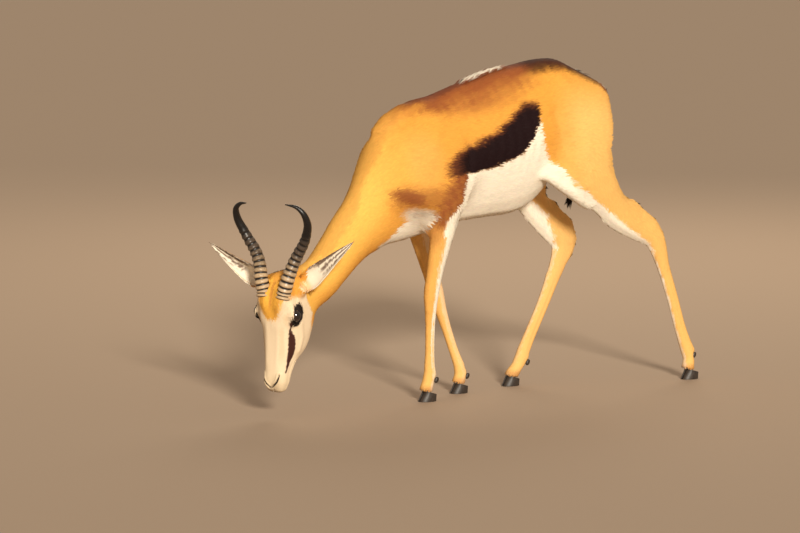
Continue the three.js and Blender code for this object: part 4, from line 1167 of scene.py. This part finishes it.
def lay_tufts(p, up, lie, long, width, lift):
    """Points of the tufts: a triangle at the root, another on the way, and the tip."""
    n = len(p)
    way = lie + GRAVITY * (1 - np.abs(up[:, 2:3]))
    way = way - up * (way * up).sum(1)[:, None]
    way = unit(way)
    side = np.cross(up, way)
    turn = chance.normal(0, 0.16, n)[:, None]
    way = unit(way + side * turn)
    side = np.cross(up, way)
    lift = np.radians(np.clip(lift * chance.uniform(0.5, 1.5, n), 1, LIFT_MOST))[:, None]
    long = (long * chance.uniform(0.75, 1.2, n))[:, None]
    width = (width * chance.uniform(0.8, 1.2, n))[:, None]
    rise = up * np.sin(lift)
    ahead = way * np.cos(lift)
    root = p - up * ROOT_DEPTH
    ring = [(-1, 0.0), (1, 0.0), (0, BLADE_RIDGE)]
    low = [root + side * width * a * 0.8 + up * width * b for a, b in ring]
    middle = root + (ahead * 0.48 + rise * 0.62) * long
    mid = [middle + side * width * a + up * width * b for a, b in ring]
    tip = root + (ahead + rise * 0.85) * long
    return np.stack(low + mid + [tip], axis=1)


TUFT_FACES = np.array([(0, 1, 4), (0, 4, 3), (1, 2, 5), (1, 5, 4), (2, 0, 3), (2, 3, 5),
                       (3, 4, 6), (4, 5, 6), (5, 3, 6), (2, 1, 0)])

# %% [markdown]
# Each tuft needs its own small place on a picture that the coat's colours can be baked to. The body is
# unrolled line by line, like the bark of a branch: one direction is the way along the line and the other the
# way round it. Each tuft is a small patch where its root falls on that unrolled body.

# %% Unroll the body
GIRTH = {"head": 360, "neck": 400, "trunk": 660, "tail": 70, "ear_left": 130, "ear_right": 130}
LEG_GIRTH = 210
SHEETS = {}
cursor = [0.0, 0.0]
row_top = 0.0
SHEET = 1500.0
for name, points_of_line in LINES.items():
    length = walk(points_of_line, 14)[2][-1] + 60
    girth = GIRTH.get(name, LEG_GIRTH)
    if cursor[1] + girth > SHEET:
        cursor = [row_top, 0.0]
    SHEETS[name] = (cursor[0], cursor[1], girth)
    row_top = max(row_top, cursor[0] + length)
    cursor[1] += girth + 10
print("unrolled sheet is", round(row_top), "by", round(SHEET), "mm")
SHEET_LONG = max(row_top, SHEET)


def unroll(p, near):
    """Place of each point on the unrolled body, from 0 to 1."""
    line = stops["line"][near]
    way = stops["way"][near]
    d = p - stops["at"][near]
    along = stops["along"][near] + (d * way).sum(1) + 30
    level_side = unit(np.cross(way, np.where(np.abs(way[:, 2:3]) > 0.8, [[1.0, 0, 0]], [[0, 0, 1.0]])))
    other = np.cross(way, level_side)
    round_it = np.arctan2((d * level_side).sum(1), (d * other).sum(1)) / (2 * math.pi) + 0.5
    left = np.array([SHEETS[n][0] for n in LINE_NAMES])[line]
    base = np.array([SHEETS[n][1] for n in LINE_NAMES])[line]
    girth = np.array([SHEETS[n][2] for n in LINE_NAMES])[line]
    return np.column_stack([left + along, base + round_it * girth]) / SHEET_LONG


PATCH = 0.003
PATCH_SHAPE = [(-0.5, -0.5), (0.5, -0.5), (0, -0.5), (-0.4, 0.1), (0.4, 0.1), (0, 0.1), (0, 0.5)]
PATCH_AT = np.array(PATCH_SHAPE) * PATCH


# %% Make the coat's pieces
def raw_mesh(name, vertices, faces):
    """A mesh from arrays of points and triangles."""
    mesh = bpy.data.meshes.new(name)
    mesh.vertices.add(len(vertices))
    mesh.vertices.foreach_set("co", vertices.ravel())
    mesh.loops.add(faces.size)
    mesh.loops.foreach_set("vertex_index", faces.ravel().astype(np.int32))
    mesh.polygons.add(len(faces))
    mesh.polygons.foreach_set("loop_start", np.arange(0, faces.size, 3, dtype=np.int32))
    mesh.update(calc_edges=True)
    mesh.validate()
    return mesh


# painted shade and light: each tuft is a little darker at its root, among the other hairs, and a little
# lighter at its tip
ROOT_SHADE_TIP_LIGHT = [0.97] * 3 + [1] * 3 + [1.03]


def coat_piece(name, p, up, lie, near, form, colour):
    """One piece of the coat. form holds the tufts' lengths, half widths and lift angles."""
    shape = lay_tufts(p, up, lie, *form)
    count = len(p)
    faces = (TUFT_FACES[None] + np.arange(count)[:, None, None] * 7).reshape(-1, 3)
    mesh = raw_mesh(name, metres(shape.reshape(-1, 3)), faces)
    # each tuft's colour, with painted shade at its root and painted light at its tip
    paint_points(mesh, np.repeat(colour, 7, axis=0) * np.tile(ROOT_SHADE_TIP_LIGHT, count)[:, None])
    uv = (unroll(p, near)[:, None] + PATCH_AT[None]).reshape(-1, 2)
    layer = mesh.uv_layers.new(name="OFBake")
    layer.data.foreach_set("uv", uv[faces.ravel()].ravel())
    mesh.materials.append(HAIR_FINISH)
    # each tuft takes the light as the skin under it does, so that the coat looks sleek
    if name != "coat_ears":
        mesh.normals_split_custom_set_from_vertices(np.repeat(up, 7, axis=0).tolist())
    piece = object_of(name, mesh)
    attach(piece, "root")
    print(name, "has", count, "tufts and", len(faces), "triangles")
    return piece


# %% Lay the coat
root_colour = coat_colour(roots, root_up, root_near)
shade = chance.uniform(0.95, 1.06, len(roots))[:, None]
tint = mix(1, chance.uniform(0.95, 1.05, (len(roots), 3)), 0.5)
root_colour = root_colour * (shade * tint)
long, width, lift = hair_form(roots, root_up, root_near, root_line)
bare = np.zeros(len(roots), bool)
for side in (1, -1):
    r, far, *_ = eye_measure(roots, side)
    bare |= (r < 1.32) & (far < 34)
u, v, q = head_measure(roots).T
slit = flat_distance(u, np.abs(v), NOSTRIL)
bare |= (slit < 3.0) & (q > -22) & on_lines(root_line, "head")
bare |= on_lines(root_line, "tail") & (roots[:, 2] < 520)
bare |= (roots[:, 2] < 26)
on_left = roots[:, 1] < 0
groups = {
    "coat_head": on_lines(root_line, "head"),
    "coat_ears": on_lines(root_line, "ear_left", "ear_right"),
    "coat_neck": on_lines(root_line, "neck"),
    "coat_trunk_left": on_lines(root_line, "trunk") & on_left,
    "coat_trunk_right": on_lines(root_line, "trunk") & ~on_left,
    "coat_forelegs": on_lines(root_line, "foreleg_left", "foreleg_right"),
    "coat_hindleg_left": on_lines(root_line, "hindleg_left"),
    "coat_hindleg_right": on_lines(root_line, "hindleg_right"),
    "coat_tail": on_lines(root_line, "tail"),
}
for name, chosen in groups.items():
    mine = chosen & ~bare
    coat_piece(name, roots[mine], root_up[mine], root_lie[mine], root_near[mine],
               (long[mine], width[mine], lift[mine]), root_colour[mine])

# %% [markdown]
# ## The tail's tuft
# Long black hair ends the tail. These are the same blades, longer, rooted along its last third.

# %% Tail tuft
tail_at, tail_way, tail_along = walk(LINES["tail"], 1.2)
low_part = tail_along > tail_along[-1] * 0.6
HAIRS_AT_A_STOP = 6
tuft_at = np.repeat(tail_at[low_part], HAIRS_AT_A_STOP, axis=0)
tuft_way = np.repeat(tail_way[low_part], HAIRS_AT_A_STOP, axis=0)
spoke = unit(np.cross(tuft_way, chance.normal(size=tuft_at.shape)))
tuft_root = tuft_at + spoke * 2.4
to_end = np.repeat(tail_along[-1] - tail_along[low_part], HAIRS_AT_A_STOP)
tuft_long = np.minimum(26 + to_end * 0.25, 44)
tuft_near, _ = nearest_stop(tuft_root)
coat_piece("tail_tuft", tuft_root, spoke, tuft_way, tuft_near,
           (tuft_long, np.full(len(tuft_root), 1.2), np.full(len(tuft_root), 8.0)),
           np.tile(BLACK, (len(tuft_root), 1)))

# %% [markdown]
# ## Horns
# The horns are ringed on their lower part and smooth at the tips. A horn is a row of rings round a curve,
# and its ridges come from a saw-like wave on the radius, steep on the lower side of each ring, as real ones
# are.

# %% Horn shape
# places up the face from the horn's root, across, and out of the face, with the horn's radius there
HORN = [(-14, 25, 4, 18), (0, 27, 1, 18), (27, 34.5, 0, 17.2), (61, 44, -8, 15.6), (89, 57, -11, 14.4),
        (115, 73, -8, 12.8), (138, 84, -2, 11.2), (163, 92, 8, 9.4), (188, 89, 20, 7.2), (203, 74, 27, 4.8),
        (209, 51, 37, 1.2)]
HORN_ROOT = {"up": 229, "out": -8}
HORN_DIFFERENCE = 0.015
HORN_RINGS = 13


def curve_through(places, count):
    """A smooth line through places, with its ways, by Catmull-Rom."""
    places = np.array(places, float)
    padded = np.concatenate([[2 * places[0] - places[1]], places, [2 * places[-1] - places[-2]]])
    t = np.linspace(0, len(places) - 1, count)
    j = np.minimum(t.astype(int), len(places) - 2)
    f = (t - j)[:, None]
    a, b, c, d = padded[j], padded[j + 1], padded[j + 2], padded[j + 3]
    at = 0.5 * (2 * b + (c - a) * f + (2 * a - 5 * b + 4 * c - d) * f ** 2 + (3 * b - a - 3 * c + d) * f ** 3)
    return at, unit(np.gradient(at, axis=0)), t


def horn_mesh(side, rings=260, sides=40):
    """Points and faces of a horn, and how light each point is painted: pale on the tops of the lower
    rings, partly from wear and partly as a painted highlight. side is 1 for the left horn.
    """
    rows = []
    for climb, v, q, radius in HORN:
        climb = climb * (1 + HORN_DIFFERENCE * side)
        v = side * v * (1 + HORN_DIFFERENCE * (side - 1))
        rows.append(on_head(HORN_ROOT["up"] + climb, v, HORN_ROOT["out"] + q))
    radii = np.array([row[3] for row in HORN], float)
    at, way, t = curve_through(rows, rings)
    radius = np.interp(t, np.arange(len(radii)), radii)
    far = np.concatenate([[0], np.cumsum(np.linalg.norm(np.diff(at, axis=0), axis=1))])
    reach = far / far[-1]
    phase = (reach / 0.64) ** 0.85 * HORN_RINGS
    saw = phase % 1.0
    wave = np.where(saw < 0.3, ramp(saw, 0, 0.3), ramp(saw, 1.0, 0.3))
    ringed = ramp(reach, 0.68, 0.54)
    deep = unit(OUT - way * (way @ OUT)[:, None])
    wide = np.cross(way, deep)
    turn = np.linspace(0, 2 * math.pi, sides, endpoint=False)
    # rings stand out in front and fade behind
    front = 0.62 + 0.38 * np.cos(turn)
    lump = 1 + (wave[:, None] - 0.62) * 0.19 * ringed[:, None] * front[None]
    streak = 1 + 0.008 * np.sin(turn * 17)[None] * ramp(reach, 0.9, 0.5)[:, None]
    size = (radius[:, None] * lump * streak)[:, :, None]
    body = at[:, None] + deep[:, None] * np.cos(turn)[None, :, None] * size
    body = body + wide[:, None] * (np.sin(turn)[None, :, None] * size * 0.9)
    index = np.arange(rings * sides).reshape(rings, sides)
    ahead = np.roll(index, -1, axis=1)
    quads = np.stack([index[:-1], index[1:], ahead[1:], ahead[:-1]], axis=2).reshape(-1, 4)
    faces = [list(q) for q in quads] + [list(index[0]), list(index[-1][::-1])]
    # pale tops of the lower rings, fading up the horn: partly wear, partly painted highlight
    bright = np.interp(reach, [0, 0.16, 0.26, 0.36, 0.5, 0.62], [1, 0.95, 0.72, 0.5, 0.38, 0])
    light = (bright * ramp(wave, 0.05, 0.4))[:, None] * np.ones(sides)
    return body.reshape(-1, 3), faces, light.ravel()


# %% Horn finish
HORN_COLOURS = [(0, (0.007, 0.006, 0.006)), (0.4, (0.07, 0.048, 0.034)), (0.9, (0.52, 0.37, 0.22))]


def horn_finish():
    """Nearly black, with pale brown ring tops below: partly wear, partly a painted highlight."""
    made, tree, shader = material("horn", Roughness=0.38, Specular_IOR_Level=0.5)
    wear_and_highlight = node(tree, "ShaderNodeAttribute", {"attribute_name": "wear_and_highlight"}, output=2)
    mask = wear_and_highlight * (noise(tree, 240.0, 4.0) * 0.8 + 0.55)
    wire_in(tree, colour_band(tree, mask, HORN_COLOURS), shader.inputs["Base Color"])
    relief_in(tree, shader, 0.35, 0.0008, noise(tree, 500.0, 3.0, (1, 1, 0.15)))
    return made


# %% Make the horns
HORN_FINISH = horn_finish()
for side, name in ((1, "left"), (-1, "right")):
    body, faces, light = horn_mesh(side)
    mesh = bpy.data.meshes.new(f"horn_shaft_{name}")
    mesh.from_pydata([tuple(p) for p in metres(body)], [], faces)
    mesh.shade_smooth()
    # the pale ring tops, partly wear and partly painted highlight
    wear_and_highlight = mesh.attributes.new("wear_and_highlight", "FLOAT", "POINT")
    wear_and_highlight.data.foreach_set("value", light)
    mesh.materials.append(HORN_FINISH)
    horn = object_of(f"horn_shaft_{name}", mesh)
    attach(horn, "root")
    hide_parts(f"horn_{name}")
    print(horn.name, len(faces), "faces")

# %% [markdown]
# ## Eyes
# Each eye is a dark glossy ball, brown round a wide pupil. It sits as deep as the ball of the solid, and
# the lids made in the skin close over its edge.


# %% Eyes
EYE_COLOURS = [(0, (0.002, 0.0015, 0.0012)), (1, (0.012, 0.005, 0.003))]
PUPIL_HALF = (8.5, 5.0)


def eye_finish():
    """A black pupil and a dark brown iris under a clear wet coat."""
    made, tree, shader = material("eye", Roughness=0.06, Specular_IOR_Level=0.7, Coat_Weight=1.0,
                                  Coat_Roughness=0.02)
    iris = node(tree, "ShaderNodeAttribute", {"attribute_name": "iris"}, output=2)
    wire_in(tree, colour_band(tree, iris, EYE_COLOURS), shader.inputs["Base Color"])
    return made


EYE_FINISH = eye_finish()
for side, name in ((1, "left"), (-1, "right")):
    build = bmesh.new()
    bmesh.ops.create_uvsphere(build, u_segments=48, v_segments=32, radius=EYE["radius"] / 1000)
    mesh = new_mesh(f"eyeball_{name}", build)
    mesh.shade_smooth()
    ball = read_points(mesh) * 1000
    gaze, along, across = eye_ways(side)
    ahead = unit(ball) @ gaze
    lens = 1 + 0.035 * ramp(ahead, 0.8, 0.98)
    pupil = np.hypot((ball @ along) / PUPIL_HALF[0], (ball @ across) / PUPIL_HALF[1])
    iris = ramp(pupil, 0.85, 1.1) * ramp(np.abs(ahead), 0.55, 0.75)
    write_points(mesh, metres(ball * lens[:, None] + eye_centre(side)))
    layer = mesh.attributes.new("iris", "FLOAT", "POINT")
    layer.data.foreach_set("value", iris)
    mesh.materials.append(EYE_FINISH)
    eyeball = object_of(f"eyeball_{name}", mesh)
    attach(eyeball, "root")
    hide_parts(f"eye_{name}")
    print(eyeball.name, "set at", eye_centre(side).round())

# %% [markdown]
# ## Hooves
# The solids of the hooves are kept. A bevel rounds their edges, and fine growth lines run round them in the
# bump.


# %% Hooves
HOOF_COLOURS = [(0, (0.010, 0.008, 0.007)), (1, (0.055, 0.038, 0.028))]
EDGE_ROUND = 0.0009


def hoof_finish():
    """Dark horn with fine growth lines round it."""
    made, tree, shader = material("hoof", Roughness=0.42)
    place = node(tree, "ShaderNodeTexCoord", output=3)
    lines = node(tree, "ShaderNodeTexWave", {"bands_direction": "Z"},
                 {"Vector": place, "Scale": 160.0, "Distortion": 1.5, "Detail": 2.0}, output=1)
    paint = colour_band(tree, noise(tree, 180.0, 4.0), HOOF_COLOURS)
    wire_in(tree, paint, shader.inputs["Base Color"])
    relief_in(tree, shader, 0.25, 0.0006, lines)
    return made


HOOF_FINISH = hoof_finish()
for name, hoof in frame["nodes"].items():
    if "_hoof_" in name or "_dewclaw_" in name:
        hoof.data.materials.clear()
        hoof.data.materials.append(HOOF_FINISH)
        merge = hoof.modifiers.new("merge", "WELD")
        merge.merge_threshold = WELD
        round_off = hoof.modifiers.new("round", "BEVEL")
        round_off.width = EDGE_ROUND
        round_off.segments = 2
        round_off.limit_method = "ANGLE"
        hoof.data.shade_smooth()
print("hooves finished")

# %% [markdown]
# ## Camera, light and floor
# The camera stands ten metres off with a long lens, a little higher than the animal's back, so that near
# and far legs look about as long. Low warm light comes from the camera's right, as late in the day, the sky
# fills the shadows, and a weak lamp behind the animal lifts the edge of its back.

# %% Camera
CAMERA_PLACE = (-5872, -7991, 1443)
CAMERA_AZIMUTH = -36.0
CAMERA_DIP = 6.5
camera = bpy.data.objects.new("camera", bpy.data.cameras.new("camera"))
camera.data.lens = 193.5
camera.data.sensor_width = 36
camera.data.clip_end = 60
camera.location = Vector(metres(CAMERA_PLACE))
camera.rotation_euler = (math.radians(90 - CAMERA_DIP), 0, math.radians(CAMERA_AZIMUTH))
bpy.context.scene.collection.objects.link(camera)
bpy.context.scene.camera = camera


# %% Lights and floor
def lamp(name, place, energy, size, colour, aim=(0, 0, 0.4)):
    """A square lamp that shines from a place towards the animal."""
    light = bpy.data.objects.new(name, bpy.data.lights.new(name, "AREA"))
    light.data.energy = energy
    light.data.size = size
    light.data.color = colour
    light.location = place
    light.rotation_euler = (Vector(aim) - Vector(place)).to_track_quat("-Z", "Y").to_euler()
    bpy.context.scene.collection.objects.link(light)


sun = bpy.data.objects.new("sun", bpy.data.lights.new("sun", "SUN"))
sun.data.energy = 4.1
sun.data.angle = math.radians(9)
sun.data.color = (1.0, 0.92, 0.79)
SUN_FROM = Vector((-0.38, -0.92, 0.38))
sun.rotation_euler = SUN_FROM.to_track_quat("Z", "Y").to_euler()
bpy.context.scene.collection.objects.link(sun)
lamp("rim", (2.6, 2.6, 3.0), 60, 2.0, (1.0, 0.86, 0.68))
world = bpy.data.worlds.new("world")
world.use_nodes = True
world.node_tree.nodes["Background"].inputs["Color"].default_value = (0.78, 0.66, 0.53, 1)
world.node_tree.nodes["Background"].inputs["Strength"].default_value = 0.48
bpy.context.scene.world = world
bpy.context.scene.view_settings.view_transform = "Standard"

floor_mesh = bpy.data.meshes.new("floor")
FLOOR_HALF = 30
corners_of_floor = [(FLOOR_HALF * a, FLOOR_HALF * b, 0) for a, b in ((-1, -1), (1, -1), (1, 1), (-1, 1))]
floor_mesh.from_pydata(corners_of_floor, [], [(0, 1, 2, 3)])
floor_material, _, floor_shader = material("floor", Roughness=0.9)
floor_shader.inputs["Base Color"].default_value = (0.38, 0.28, 0.20, 1)
floor_mesh.materials.append(floor_material)
floor = object_of("floor", floor_mesh)
